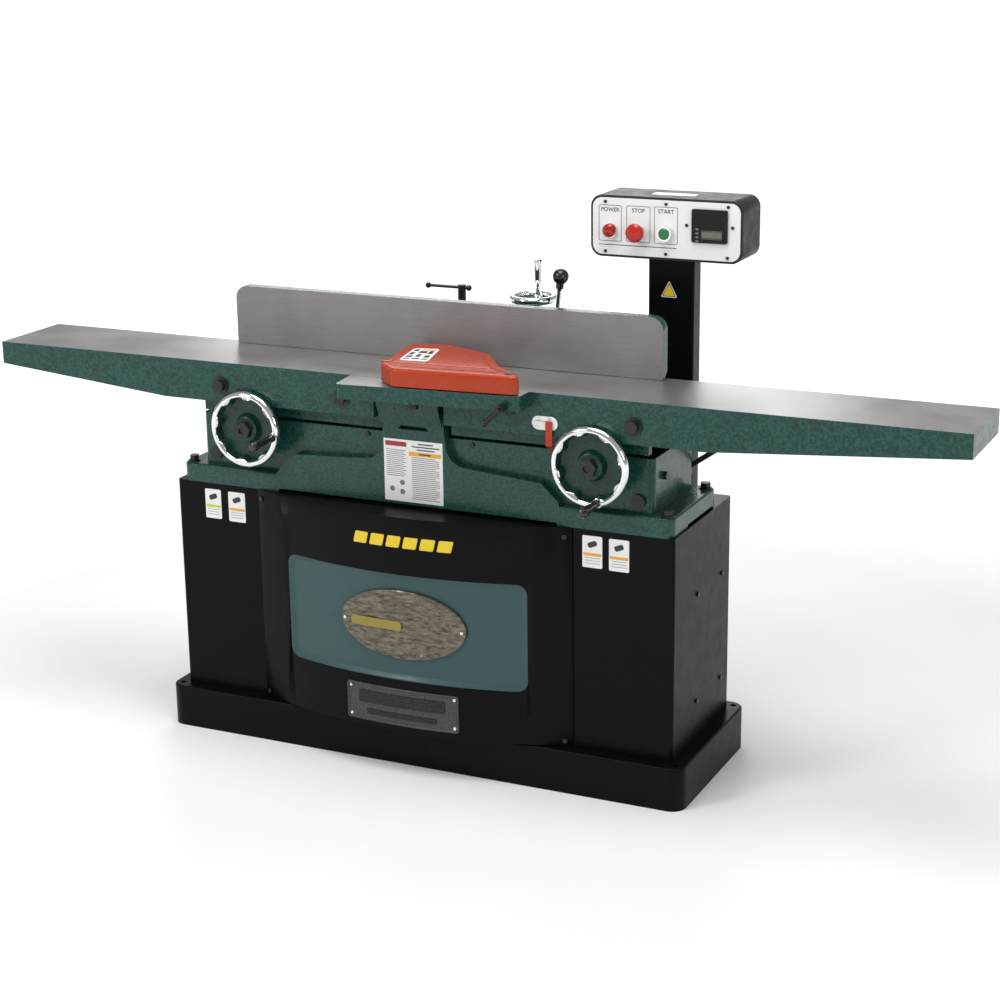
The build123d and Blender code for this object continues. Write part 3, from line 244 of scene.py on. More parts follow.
def fins_rubber():
    graph = Graph("belt_rubber", rough=0.7)
    grit = graph.noise(800.0, detail=3.0)
    graph.colour(graph.mix(grit, (0.010, 0.010, 0.010), (0.03, 0.03, 0.03)))
    graph.bump(grit, 0.5, 0.0001)
    return graph.material


def knob_lever():
    """Plated rod below, black plastic knob and collar above."""
    graph = Graph("knob_lever", rough=0.2, coat=0.0)
    knob = graph.above(graph.axis("Object", 2), KNOB_FOOT_Z)
    smudge = graph.noise(80.0, detail=4.0)
    plated = graph.mix(smudge, (0.62, 0.62, 0.63), (0.78, 0.78, 0.79))
    graph.colour(graph.mix(knob, plated, (0.009, 0.009, 0.009)))
    graph.feed(graph.shader.inputs["Metallic"], graph.math("SUBTRACT", 1.0, knob))
    graph.rough(graph.number(knob, graph.remap(smudge, 0.3, 0.7, 0.1, 0.2), 0.16))
    return graph.material


KNOB_FOOT_Z = 0.958
IRON_DARK, IRON_LIGHT = (0.25, 0.246, 0.24), (0.43, 0.426, 0.415)
FENCE_DARK, FENCE_LIGHT = (0.17, 0.169, 0.167), (0.27, 0.268, 0.264)
ENAMEL = hammered("hammered_enamel")
# Painted shade: a darker copy of the hammered enamel, standing in for the shade inside the handwheels'
# recessed dish and lining.
ENAMEL_PAINTED_SHADE = hammered("enamel_with_painted_shade", shade(HAMMER_DARK, 0.7), shade(HAMMER_LIGHT, 0.62))
BLACK = coated("black_powder_coat", (0.003, 0.003, 0.0032), rough=0.32, coat=0.0, grain=1400.0, depth=0.00002,
               specular=0.09)
BLACK_BOX = coated("black_textured_paint", (0.02, 0.02, 0.021), rough=0.5, coat=0.0, specular=0.25,
                   grain=1400.0, depth=0.00012)
TEAL = coated("teal_satin_paint", (0.028, 0.072, 0.073), rough=0.36, coat=0.12, grain=1100.0, specular=0.32,
              spread=0.06)
ORANGE = coated("orange_enamel", (0.36, 0.032, 0.004), rough=0.28, coat=0.28, spread=0.07, grain=420.0,
                depth=0.00005, specular=0.16)
TABLE = ground_and_enamel("table_casting", 2, 1, "x", IRON_DARK, IRON_LIGHT, (0.3, 0.44), 0.8, limit=0.8)
LEDGE = ground_and_enamel("ledge_casting", 2, 1, "x", IRON_DARK, IRON_LIGHT, (0.3, 0.44), 0.8, limit=0.8)
FENCE = ground_and_enamel("fence_casting", 1, -1, "x", FENCE_DARK, FENCE_LIGHT, (0.38, 0.52), 0.35)
CHROME = turned_metal("chrome_plate", (0.78, 0.78, 0.79), 0.07, scale=300.0, spread=0.03)
STEEL = turned_metal("turned_steel", (0.5, 0.5, 0.5), 0.3)
OXIDE = turned_metal("black_oxide", (0.016, 0.015, 0.016), 0.36, metal=0.3)
ALUMINIUM = turned_metal("cast_aluminium", (0.58, 0.58, 0.59), 0.4)
DUCT = turned_metal("galvanised_sheet", (0.45, 0.46, 0.47), 0.42, scale=120.0)
PLASTIC = coated("black_plastic", (0.012, 0.012, 0.012), rough=0.28, coat=0.2, grain=600.0)
NICKEL = antique("antique_nickel", (0.06, 0.05, 0.037), (0.25, 0.22, 0.172), 120.0, rough=0.32,
                 stretch=(0.45, 1.0, 1.5))
PEWTER = antique("dark_pewter", (0.062, 0.06, 0.06), (0.1, 0.098, 0.098), 260.0, rough=0.4, relief=0.00006)
RUBBED_PEWTER = antique("rubbed_pewter", (0.026, 0.025, 0.025), (0.05, 0.049, 0.049), 260.0, rough=0.36,
                        relief=0.00005)
GOLD = coated("gold_enamel", (0.27, 0.2, 0.022), rough=0.35, coat=0.15, spread=0.25, grain=300.0)
WHITE = printed("white_film", (0.78, 0.78, 0.77))
PANEL = coated("white_panel", (0.74, 0.745, 0.74), rough=0.33, coat=0.1, spread=0.03, grain=800.0)
YELLOW = printed("yellow_film", (0.74, 0.53, 0.012))
INK = printed("dark_ink", (0.02, 0.02, 0.022))
GREY_INK = printed("grey_ink", (0.16, 0.16, 0.16))
RED_INK = printed("red_ink", (0.32, 0.03, 0.025))
LIME = printed("lime_film", (0.5, 0.62, 0.04))
AMBER = printed("amber_film", (0.75, 0.36, 0.02))
RED = coated("red_plastic", (0.42, 0.014, 0.008), rough=0.25, coat=0.25, spread=0.12, specular=0.3)
LAMP = coated("red_lens", (0.34, 0.01, 0.006), rough=0.15, coat=0.35, spread=0.25, specular=0.3)
GREEN = coated("green_plastic", (0.012, 0.16, 0.05), rough=0.25, coat=0.25, spread=0.12, specular=0.3)
DISPLAY = coated("display_housing", (0.008, 0.008, 0.009), rough=0.3, coat=0.0, specular=0.2)
LCD = printed("liquid_crystal", (0.13, 0.13, 0.095), rough=0.25)
MOTOR = coated("motor_paint", (0.05, 0.055, 0.06), rough=0.4)
RUBBER = fins_rubber()
KNOB_LEVER = knob_lever()

NODE_LOOKS = {
    BLACK: "plinth_base cabinet_shell front_cover control_post belt_guard",
    BLACK_BOX: "control_box",
    ENAMEL: "bed_casting bearing_blocks fence_carriage fence_rail",
    TEAL: "cover_panel",
    TABLE: "infeed_table outfeed_table",
    LEDGE: "rabbet_ledge",
    FENCE: "fence_plate",
    NICKEL: "oval_badge",
    PEWTER: "nameplate",
    OXIDE: "panel_screws bed_bolts infeed_bolts outfeed_bolts infeed_wheel_nut outfeed_wheel_nut "
           "infeed_lock_lever outfeed_lock_lever fence_lock_post fence_lock_bar guard_lock_lever "
           "infeed_pinion_shaft outfeed_pinion_shaft guard_post",
    ORANGE: "blade_guard depth_pointer",
    WHITE: "depth_scale",
    PANEL: "control_panel",
    STEEL: "infeed_outer_shaft infeed_inner_shaft outfeed_outer_shaft outfeed_inner_shaft cutterhead "
           "fence_hinge_pins fence_pinion",
    CHROME: "infeed_handwheel outfeed_handwheel fence_handwheel fence_wheel_grip cutter_inserts "
            "button_collars",
    PLASTIC: "infeed_wheel_grip outfeed_wheel_grip",
    KNOB_LEVER: "tilt_lever",
    ALUMINIUM: "cutterhead_pulley motor_pulley",
    RUBBER: "drive_belt",
    MOTOR: "motor",
    DUCT: "dust_chute",
    LAMP: "power_lamp",
    RED: "stop_button",
    GREEN: "start_button",
    DISPLAY: "display_module",
}
BEVELS = {"bed_casting": 3.4, "infeed_table": 0.8, "outfeed_table": 0.8, "rabbet_ledge": 1.2,
          "fence_plate": 1.0, "plinth_base": 0.8, "cabinet_shell": 0.8, "front_cover": 0.8,
          "control_box": 1.5, "control_panel": 0.5, "fence_carriage": 1.5, "fence_rail": 1.0,
          "control_post": 1.0, "motor": 1.0, "belt_guard": 1.0, "bearing_blocks": 1.0, "display_module": 0.6}
WELD_REACH = 0.00001


def add_weld(piece):
    """Joins vertices that lie on the same spot, such as the two ends of a ring."""
    weld = piece.modifiers.new("weld", "WELD")
    weld.merge_threshold = WELD_REACH


def add_bevel(piece, width):
    """Rounds a piece's sharp edges by a width in millimetres."""
    bevel = piece.modifiers.new("edges", "BEVEL")
    bevel.width = width * MM
    bevel.segments = 3
    bevel.limit_method = "ANGLE"
    bevel.angle_limit = math.radians(30)
    bevel.harden_normals = True


def dress_cad_nodes():
    looks = {name: material for material, names in NODE_LOOKS.items() for name in names.split()}
    for name, piece in NODES.items():
        piece.data.materials.clear()
        piece.data.materials.append(looks[name])


# ------------------------------------------------------------------ mesh helpers
def make_piece(name, vertices, faces, material, body):
    mesh = bpy.data.meshes.new(name)
    mesh.from_pydata([tuple(v) for v in vertices], [], faces)
    mesh.validate()
    grown = bmesh.new()
    grown.from_mesh(mesh)
    bmesh.ops.recalc_face_normals(grown, faces=grown.faces)
    grown.to_mesh(mesh)
    grown.free()
    for polygon in mesh.polygons:
        polygon.use_smooth = True
    mesh.set_sharp_from_angle(angle=math.radians(38))
    piece = bpy.data.objects.new(name, mesh)
    bpy.context.scene.collection.objects.link(piece)
    mesh.materials.append(material)
    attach(piece, body)
    return piece


def loft(name, loops, material, body, cap=(True, True)):
    """Skin over loops of equal length, capped at the ends where asked."""
    count = len(loops[0])
    vertices = [point for loop in loops for point in loop]
    faces = []
    for row in range(len(loops) - 1):
        for column in range(count):
            following = (column + 1) % count
            faces.append((row * count + column, row * count + following,
                          (row + 1) * count + following, (row + 1) * count + column))
    for wanted, row in ((cap[0], 0), (cap[1], len(loops) - 1)):
        if wanted:
            faces.append(tuple(row * count + column for column in range(count)))
    return make_piece(name, vertices, faces, material, body)


def lathe(name, centre, axis, profile, material, body, segments=96):
    """Solid of revolution. The profile holds (radius, place along the axis) in millimetres."""
    loops = []
    for radius, place in profile:
        loop = []
        for index in range(segments):
            turn = 2 * math.pi * index / segments
            if axis == "y":
                point = (centre[0] + radius * math.cos(turn), place, centre[1] + radius * math.sin(turn))
            else:
                point = (centre[0] + radius * math.cos(turn), centre[1] + radius * math.sin(turn), place)
            loop.append(Vector(point) * MM)
        loops.append(loop)
    return loft(name, loops, material, body)


def rounded(width, height, radius, corner=8, side=24):
    """Points round a rectangle with rounded corners, evenly split along its sides."""
    points = []
    half_w, half_h = width / 2 - radius, height / 2 - radius
    centres = ((half_w, half_h), (-half_w, half_h), (-half_w, -half_h), (half_w, -half_h))
    for quarter, (cx, cz) in enumerate(centres):
        for step in range(corner + 1):
            turn = math.pi / 2 * (quarter + step / corner)
            points.append((cx + radius * math.cos(turn), cz + radius * math.sin(turn)))
        last = points[-1]
        following = centres[(quarter + 1) % 4]
        turn = math.pi / 2 * (quarter + 1)
        first = (following[0] + radius * math.cos(turn), following[1] + radius * math.sin(turn))
        for step in range(1, side):
            share = step / side
            points.append((last[0] + (first[0] - last[0]) * share, last[1] + (first[1] - last[1]) * share))
    return points


COVER_R, COVER_NOSE, COVER_MID = 918.6, -238.0, -5.5


def bowed(x, z, out):
    """Point on the bowed cover at length x and height z, a distance out from its face, in metres."""
    radius = COVER_R + out
    y = COVER_NOSE + COVER_R - math.sqrt(radius ** 2 - (x - COVER_MID) ** 2)
    return Vector((x, y, z)) * MM


def front(y):
    """Maps a flat outline to the upright plane at depth y, a distance out towards the front."""
    return lambda x, z, out: Vector((x, y - out, z)) * MM


def top_of(z):
    """Maps a flat outline to the level plane at height z, a distance out upwards."""
    return lambda x, y, out: Vector((x, y, z + out)) * MM


def plate(name, centre, size, radius, surface, material, body, thick=0.25, side=12, tilt=0.0):
    """Thin label or panel laid on a surface."""
    loops = []
    for shrink, out in ((0.0, 0.02), (0.0, thick - 0.08), (0.08, thick), (min(size) / 2 - 0.1, thick)):
        outline = rounded(size[0] - 2 * shrink, size[1] - 2 * shrink, max(radius - shrink, 0.05), 6, side)
        turned = [(x * math.cos(tilt) - y * math.sin(tilt), x * math.sin(tilt) + y * math.cos(tilt))
                  for x, y in outline]
        loops.append([surface(centre[0] + x, centre[1] + y, out) for x, y in turned])
    return loft(name, loops, material, body)


# ------------------------------------------------------------------ handwheels
def handwheel(side, centre, grip_angle):
    body = f"{side}_wheel"
    segments, lobes = 240, 8

    def inner_radius(turn):
        swell = max(0.0, math.cos((turn - math.radians(grip_angle)) * lobes)) ** 0.8
        return 67.5 - 6.0 * swell

    section = []
    for step in range(13):
        turn = math.radians(-35 + 165 * step / 12)
        section.append(("outer", 71.5 + 8.5 * math.cos(turn), -202.5 - 9.5 * math.sin(turn)))
    section += [("edge", 2.4, -211.3), ("edge", 0.9, -210.4), ("edge", 0.2, -208.9)]
    wall = [("edge", 0.2, -208.9), ("edge", 0.6, -205.0), ("edge", -0.6, -198.0), ("edge", -3.4, -190.4)]

    def ring(kind, first, place):
        loop = []
        for index in range(segments):
            turn = 2 * math.pi * index / segments
            radius = first if kind == "outer" else inner_radius(turn) + first
            if kind == "outer":
                radius = max(radius, inner_radius(turn) + 2.4)
            x, z = centre[0] + radius * math.cos(turn), centre[1] + radius * math.sin(turn)
            loop.append(Vector((x, place, z)) * MM)
        return loop

    behind = [("edge", -1.0, -193.8), ("outer", 76.0, -193.5)]
    loops = [ring(*row) for row in section + [("edge", 0.9, -206.0)] + behind]
    loops.append(loops[0])
    rim = loft(f"{side}_wheel_rim", loops, CHROME, body, cap=(False, False))
    # The lining and the dish take the darker enamel copy, whose colour holds painted shade for the recess.
    inner = [ring(*row) for row in wall] + [ring("edge", 2.0, -191.2), ring("edge", 1.6, -208.0)]
    inner.append(inner[0])
    lining = loft(f"{side}_wheel_lining", inner, ENAMEL_PAINTED_SHADE, body, cap=(False, False))
    add_weld(lining)
    add_weld(rim)
    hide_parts(f"{side}_handwheel")
    lathe(f"{side}_wheel_dish", centre, "y",
          ((0, -203.5), (24.5, -204.6), (26.0, -203.6), (27.0, -199.0), (28.4, -192.4),
           (31.5, -189.4), (40, -188.6), (58, -189.6), (66, -190.8), (70.5, -192.5),
           (70.5, -188.5), (60, -186.4), (44, -184.8), (30, -181.5), (27, -179.5), (25.2, -172.0),
           (24, -170.2), (0, -170.2)),
          ENAMEL_PAINTED_SHADE, body)
    grip_turn = math.radians(grip_angle)
    grip = (centre[0] + 70 * math.cos(grip_turn), centre[1] + 70 * math.sin(grip_turn))
    lathe(f"{side}_grip_spindle", grip, "y",
          ((0, -204), (9.4, -204), (9.4, -211.8), (8.8, -212.25), (2.95, -212.3), (2.95, -285.5),
           (0, -285.8)),
          CHROME, body, segments=48)


def fence_wheel():
    """Small level handwheel on the fence carriage, with its turning grip."""
    centre, body = (111.0, 190.0), "fence_wheel"
    rim = []
    for step in range(25):
        turn = 2 * math.pi * step / 24
        rim.append((43.4 + 6.5 * math.cos(turn), 923 + 8.0 * math.sin(turn)))
    rows = [[Vector((centre[0] + r * math.cos(a), centre[1] + r * math.sin(a), z)) * MM
             for a in (2 * math.pi * i / 120 for i in range(120))] for r, z in rim]
    ring = loft("fence_wheel_rim", rows, CHROME, body, cap=(False, False))
    add_weld(ring)
    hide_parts("fence_handwheel")
    lathe("fence_wheel_dish", centre, "z",
          ((6.05, 880.4), (12, 880.4), (12.6, 903), (15, 906.5), (24, 909.4), (39, 915),
           (40.5, 919), (38, 921), (24, 914.6), (14, 912.4), (13, 915.5), (11.5, 916.8),
           (6.05, 916.8)), ENAMEL, body)
    grip = (centre[0], centre[1] + 26)
    lathe("fence_grip_foot", grip, "z",
          ((0, 908), (9, 909), (8.6, 922), (7.4, 924.6), (2.95, 924.8), (2.95, 995), (0, 995)),
          CHROME, body, segments=48)
    shell = lathe("fence_grip_shell", grip, "z",
                  ((3.1, 925.4), (4.8, 925.4), (5.0, 934), (5.6, 944), (7.9, 956), (8.4, 964),
                   (8.3, 994), (7.9, 999), (6.2, 1001.2), (3.1, 1001.3)),
                  CHROME, "fence_grip", segments=48)
    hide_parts("fence_wheel_grip")


# ------------------------------------------------------------------ stand details
def stand_details():
    window, middle = (544.0, 226.0), (-5.0, 318.0)
    loops = []
    for shrink, depth in ((0.3, 0.5), (1.2, 0.8), (3.0, 1.6), (10.2, 6.7), (12.4, 7.5),
                               (15.5, 7.7), (35, 7.7), (60, 7.7), (86, 7.7), (104, 7.7),
                               (112.8, 7.7)):
        radius = max(21.7 - 0.45 * shrink, 0.1)
        outline = rounded(window[0] - 2 * shrink, window[1] - 2 * shrink, radius, 10, 40)
        loops.append([bowed(middle[0] + x, middle[1] + z, -depth) for x, z in outline])
    back = [bowed(middle[0] + x, middle[1] + z, -2.4)
            for x, z in rounded(window[0] - 0.6, window[1] - 0.6, 21.4, 10, 40)]
    dish = loft("cover_dish", [back] + loops, TEAL, "stand", cap=(False, True))
    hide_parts("cover_panel")

    badge_half, badge_mid = (140.0, 73.0), (5.0, 324.0)
    rings, around = 46, 220
    loops = []
    for ring in range(rings + 1):
        share = 1 - ring / rings * 0.985
        loop = []
        for index in range(around):
            turn = 2 * math.pi * index / around
            x, z = badge_half[0] * share * math.cos(turn), badge_half[1] * share * math.sin(turn)
            edge = min((1 - share) * badge_half[1], 20)
            rope = 0.0
            if edge < 7:
                rope = 1.5 * math.sin(math.pi * edge / 7)
            relief = 0.0
            if edge > 8:
                folds = noise.fractal(Vector((x * 0.03 + z * 0.02, z * 0.075, 3.1)), 0.9, 2.1, 5)
                relief = 1.9 * folds + 0.5 * noise.noise(Vector((x * 0.22, z * 0.3, 9.0)))
            out = -0.9 + rope + max(-1.5, min(1.5, relief))
            loop.append(bowed(badge_mid[0] + x, badge_mid[1] + z, out))
        loops.append(loop)
    skirt = [bowed(badge_mid[0] + badge_half[0] * math.cos(2 * math.pi * i / around),
                   badge_mid[1] + badge_half[1] * math.sin(2 * math.pi * i / around), -7.5)
             for i in range(around)]
    badge = loft("badge_relief", [skirt] + loops, NICKEL, "stand", cap=(False, True))
    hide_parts("oval_badge")
    for x in (-127.0, 137.0):
        rivet("badge_rivet", x, 322.0, 1.2, CHROME)
    plate("badge_bar", (-52, 322), (118, 19), 7, bowed, GOLD, "stand", thick=2.1, side=30)

    size, mid = (254.0, 80.0), (1.0, 146.0)
    loops = []
    for shrink, out in ((0, 0.15), (0, 2.6), (0.8, 3.3), (3.4, 3.3), (4.2, 2.6), (4.8, 1.5),
                             (8, 1.4), (16, 1.5), (24, 1.4), (33, 1.4), (39.8, 1.4)):
        outline = rounded(size[0] - 2 * shrink, size[1] - 2 * shrink, max(6.0 - shrink * 0.5, 0.1), 8, 40)
        loops.append([bowed(mid[0] + x, mid[1] + z, out) for x, z in outline])
    back = [bowed(mid[0] + x, mid[1] + z, 0.12) for x, z in rounded(size[0], size[1], 6.0, 8, 40)]
    name_plate = loft("name_plate", [back] + loops, PEWTER, "stand", cap=(False, True))
    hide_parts("nameplate")
    for x in (-117.0, 119.0):
        for z in (115.0, 177.0):
            rivet("plate_rivet", x, z, 1.6, CHROME)

    plate("plate_bar_upper", (1, 158), (196, 26), 3, bowed, RUBBED_PEWTER, "stand", thick=3.2, side=40)
    plate("plate_bar_lower", (1, 126), (160, 11), 3, bowed, RUBBED_PEWTER, "stand", thick=3.0, side=40)
    for index in range(STRIPE_BLOCKS):
        lean_block(f"stripe_block_{index}", -82 + 37.5 * index, 500.0, YELLOW)
    label_front = front(-163.0)
    labels = ((-495, -456, 473, 537, LIME), (-438, -397, 471, 536, AMBER), (371, 413, 473, 538, AMBER),
              (427, 469, 472, 537, AMBER))
    for index, (x0, x1, z0, z1, band) in enumerate(labels):
        centre = ((x0 + x1) / 2, (z0 + z1) / 2)
        plate(f"label_{index}", centre, (x1 - x0, z1 - z0), 3, label_front, WHITE, "stand")
        plate(f"label_band_{index}", (centre[0], z0 + 27), (x1 - x0 - 4, 6), 0.6, label_front, band, "stand",
              thick=0.4)
        mark_z = (z0 + 31 + z1) / 2
        plate(f"label_mark_{index}", (centre[0], mark_z), (20, 11), 4, label_front, INK, "stand", thick=0.4,
              tilt=math.radians(22))
        for line in range(3):
            plate(f"label_rule_{index}_{line}", (centre[0], z0 + 20 - 5.5 * line), (x1 - x0 - 10, 1.0), 0.3,
                  label_front, GREY_INK, "stand", thick=0.4)


STRIPE_BLOCKS = 6


def lean_block(name, x, z, material):
    """One slanted block of the plain stripe above the window."""
    loops = []
    for shrink, out in ((0.0, 0.02), (0.0, 0.2), (0.4, 0.28), (5.0, 0.28), (10.5, 0.28)):
        loops.append([bowed(x + u + 0.25 * v, z + v, out)
                      for u, v in rounded(30 - 2 * shrink, 24 - 2 * shrink, max(3.0 - shrink, 0.05), 5, 10)])
    loft(name, loops, material, "stand", cap=(True, True))


def rivet(name, x, z, base, material):
    """Domed rivet head on the bowed cover."""
    loops = []
    for step in range(6):
        turn = math.pi / 2 * step / 5 * 0.96
        radius = 3.6 * math.cos(turn)
        out = base + 1.9 * math.sin(turn)
        loops.append([bowed(x + radius * math.cos(a), z + radius * math.sin(a), out)
                      for a in (2 * math.pi * i / 32 for i in range(32))])
    loft(f"{name}_{int(x)}_{int(z)}", loops, material, "stand")


# ------------------------------------------------------------------ bed and table details
def bed_details():
    face = front(-166.0)
    plate("data_plate", (5.5, 627), (132, 129), 1.5, face, WHITE, "stand")
    plate("data_heading", (-33, 682), (48, 10), 2, face, RED_INK, "stand", thick=0.4)
    for line, (length, z) in enumerate(((34, 685), (62, 679), (40, 673))):
        plate(f"data_title_{line}", (34, z), (length, 2.6), 0.5, face, INK, "stand", thick=0.4)
    plate("data_band", (32, 664), (72, 8.5), 0.5, face, AMBER, "stand", thick=0.4)
    plate("data_band_mark", (32, 664), (26, 3.0), 0.5, face, INK, "stand", thick=0.5)
    for line in range(22):
        gap = 0.0 if line % 5 else 8.0
        plate(f"data_rule_r{line}", (33 - gap / 2, 656.5 - 4.1 * line), (62 - gap, 1.5), 0.3, face, GREY_INK,
              "stand", thick=0.4)
    for line in range(14):
        odd = line % 2
        plate(f"data_rule_l{line}", (-33 - 2 * odd, 669 - 4.1 * line), (44 - 4 * odd, 1.4), 0.3, face,
              GREY_INK, "stand", thick=0.4)
    for index, (x, z) in enumerate(((-20, 602), (-20, 583), (-43, 588))):
        plate(f"data_seal_{index}", (x, z), (11, 11), 5.3, face, GREY_INK, "stand", thick=0.4)
    scale_face = front(-184.5)
    for mark in range(13):
        long_mark = mark % 4 == 0
        plate(f"scale_mark_{mark}", (312, 748 + 1.9 * mark), (9 if long_mark else 6, 0.5), 0.2, scale_face,
              INK, "infeed_table_body")
    plate("scale_heading", (294, 764), (20, 1.4), 0.4, scale_face, GREY_INK, "infeed_table_body")


GUARD_OUTLINE = ((-67, -28), (4, -8), (70, -30), (133, -62), (190, -146), (252, -200), (266, -221),
                 (253, -230), (7, -252), (-38, -212))
GUARD_RADII = (10, 60, 60, 50, 40, 12, 10, 11, 16, 16)
PLATEAU = ((-46, -50), (6, -26), (64, -46), (120, -80), (168, -150), (196, -186), (-18, -206))


def round_outline(corners, radii, steps=9):
    """Outline with each corner replaced by a tangent curve, and its outward directions."""
    points = []
    for index, corner in enumerate(corners):
        here = Vector(corner)
        before, after = Vector(corners[index - 1]) - here, Vector(corners[(index + 1) % len(corners)]) - here
        half = before.angle(after) / 2
        reach = min(radii[index] / math.tan(half), 0.46 * before.length, 0.46 * after.length)
        start, end = here + before.normalized() * reach, here + after.normalized() * reach
        for step in range(steps + 1):
            share = step / steps
            points.append(start * (1 - share) ** 2 + here * 2 * share * (1 - share) + end * share ** 2)
    area = sum(points[i - 1].cross(points[i]) for i in range(len(points)))
    sign = 1 if area > 0 else -1
    outward = []
    for index, point in enumerate(points):
        tangent = (points[(index + 1) % len(points)] - points[index - 1]).normalized()
        outward.append(Vector((tangent.y, -tangent.x)) * sign)
    return points, outward


def guard_shell():
    """Cast guard: open shell with a deep rounded top edge, a low raised field and its pivot screw."""
    low, high = 821.5, 857.3
    points, outward = round_outline(GUARD_OUTLINE, GUARD_RADII)
    fillet, wall = 7.0, 3.6

    def ring(inset, z, lift=False):
        """Outline moved inwards at a height; its low edge is lifted where it crosses the tables' joint."""
        loop = []
        for p, o in zip(points, outward):
            raised = 6.0 if lift and p.x < 58 and p.y > -208 else 0.0
            loop.append(Vector((p.x - o.x * inset, p.y - o.y * inset, z + raised)) * MM)
        return loop

    rows = [ring(wall, high - 12), ring(wall, low + 0.6, True), ring(wall - 0.7, low, True),
            ring(0.7, low, True), ring(0.0, low + 0.7, True)]
    for step in range(9):
        turn = math.pi / 2 * step / 8
        rows.append(ring(fillet * (1 - math.cos(turn)), high - fillet + fillet * math.sin(turn)))
    rows.append(ring(fillet + 1.2, high))
    shell = loft("guard_shell", rows, ORANGE, "guard")
    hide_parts("blade_guard")

    field, field_out = round_outline(PLATEAU, (14, 50, 60, 40, 30, 8, 14))
    rows = []
    for inset, rise in ((0.0, -0.4), (0.0, 0.1), (1.4, 0.9), (3.2, 1.3), (5.0, 1.4)):
        rows.append([Vector((p.x - o.x * inset, p.y - o.y * inset, high + rise)) * MM
                     for p, o in zip(field, field_out)])
    loft("guard_field", rows, ORANGE, "guard")
    lathe("guard_hub", (240, -213), "z", ((8.05, 823), (12.8, 823), (12.8, 855.0), (8.05, 855.0)), ORANGE,
          "guard", segments=48)
    lathe("guard_pivot_screw", (240, -213), "z",
          ((0, high - 1.0), (7.6, high - 1.0), (7.6, high + 0.5), (6.9, high + 1.2), (4.2, high + 1.2),
           (3.8, high + 0.3), (0, high + 0.3)), OXIDE, "guard", segments=48)
    lathe("guard_stop_boss", (-33, -196), "z",
          ((0, high - 2), (9, high - 2), (9, high + 0.8), (7.5, high + 1.6), (0, high + 1.6)),
          ORANGE, "guard", segments=48)
    ridge = [(x, -244 + (x - 7) * 0.0894) for x in (4, 232)]
    middle = ((ridge[0][0] + ridge[1][0]) / 2, (ridge[0][1] + ridge[1][1]) / 2 + 16)
    plate("guard_ridge_0", middle, (206, 2.4), 1.1, top_of(high), ORANGE, "guard", thick=0.7, side=30,
          tilt=math.radians(5.1))


LABEL_CORNERS = ((-11.4, -184.5), (48.3, -177.6), (20.4, -64.9), (-31.5, -76.6))


def label_patch(name, low, high, out, material):
    """Slice of the guard's label between two places, each given as shares of its width and length."""
    near_left, near_right, far_right, far_left = (Vector(corner) for corner in LABEL_CORNERS)

    def spot(u, v):
        return (near_left.lerp(near_right, u)).lerp(far_left.lerp(far_right, u), v)

    edge = []
    for first, second in (((low[0], low[1]), (high[0], low[1])), ((high[0], low[1]), (high[0], high[1])),
                          ((high[0], high[1]), (low[0], high[1])), ((low[0], high[1]), (low[0], low[1]))):
        for step in range(6):
            share = (step + 0.5) / 6
            edge.append(spot(first[0] + (second[0] - first[0]) * share,
                             first[1] + (second[1] - first[1]) * share))
    top = top_of(858.7)
    loft(name, [[top(p.x, p.y, 0.02) for p in edge], [top(p.x, p.y, out) for p in edge]], material, "guard")


def guard_details():
    guard_shell()
    label_patch("guard_label", (0, 0), (1, 1), 0.25, WHITE)
    marks = ((0.08, 0.1, 0.3, 0.2, GREY_INK), (0.08, 0.26, 0.3, 0.4, INK), (0.08, 0.47, 0.24, 0.66, INK),
             (0.36, 0.12, 0.64, 0.22, INK), (0.4, 0.3, 0.56, 0.52, INK), (0.36, 0.62, 0.66, 0.78, INK),
             (0.7, 0.1, 0.92, 0.2, GREY_INK), (0.72, 0.27, 0.9, 0.46, INK), (0.72, 0.56, 0.88, 0.8, INK),
             (0.1, 0.76, 0.28, 0.9, INK), (0.4, 0.84, 0.9, 0.92, AMBER))
    for index, (u0, v0, u1, v1, ink) in enumerate(marks):
        label_patch(f"guard_label_mark_{index}", (u0, v0), (u1, v1), 0.4, ink)


# ------------------------------------------------------------------ control box details
def frame_line(name, low, high, width, radius, surface, material, body):
    """Thin closed outline printed on a panel."""
    size = (high[0] - low[0], high[1] - low[1])
    mid = ((high[0] + low[0]) / 2, (high[1] + low[1]) / 2)
    loops = []
    for shrink, out in ((0, 0.02), (0, 0.1), (width, 0.1), (width, 0.02)):
        outline = rounded(size[0] - 2 * shrink, size[1] - 2 * shrink, radius - shrink * 0.5, 6, 6)
        loops.append([surface(mid[0] + x, mid[1] + z, out) for x, z in outline])
    loops.append(loops[0])
    piece = loft(name, loops, material, body, cap=(False, False))
    add_weld(piece)


def word(name, text, centre, height, y, material):
    """Short plain control word standing on an upright panel."""
    curve = bpy.data.curves.new(name, "FONT")
    curve.body = text
    curve.size = height * 1.35 * MM
    curve.align_x, curve.align_y = "CENTER", "CENTER"
    curve.extrude = 0.00004
    curve.offset = 0.0002
    text_object = bpy.data.objects.new(name + "_text", curve)
    bpy.context.scene.collection.objects.link(text_object)
    bpy.context.view_layer.update()
    mesh = bpy.data.meshes.new_from_object(text_object)
    bpy.data.objects.remove(text_object)
    place = Matrix.Translation(Vector((centre[0], y, centre[1])) * MM)
    mesh.transform(place @ Matrix.Rotation(math.pi / 2, 4, "X"))
    mesh.materials.clear()
    mesh.materials.append(material)
    piece = bpy.data.objects.new(name, mesh)
    bpy.context.scene.collection.objects.link(piece)
    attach(piece, "stand")


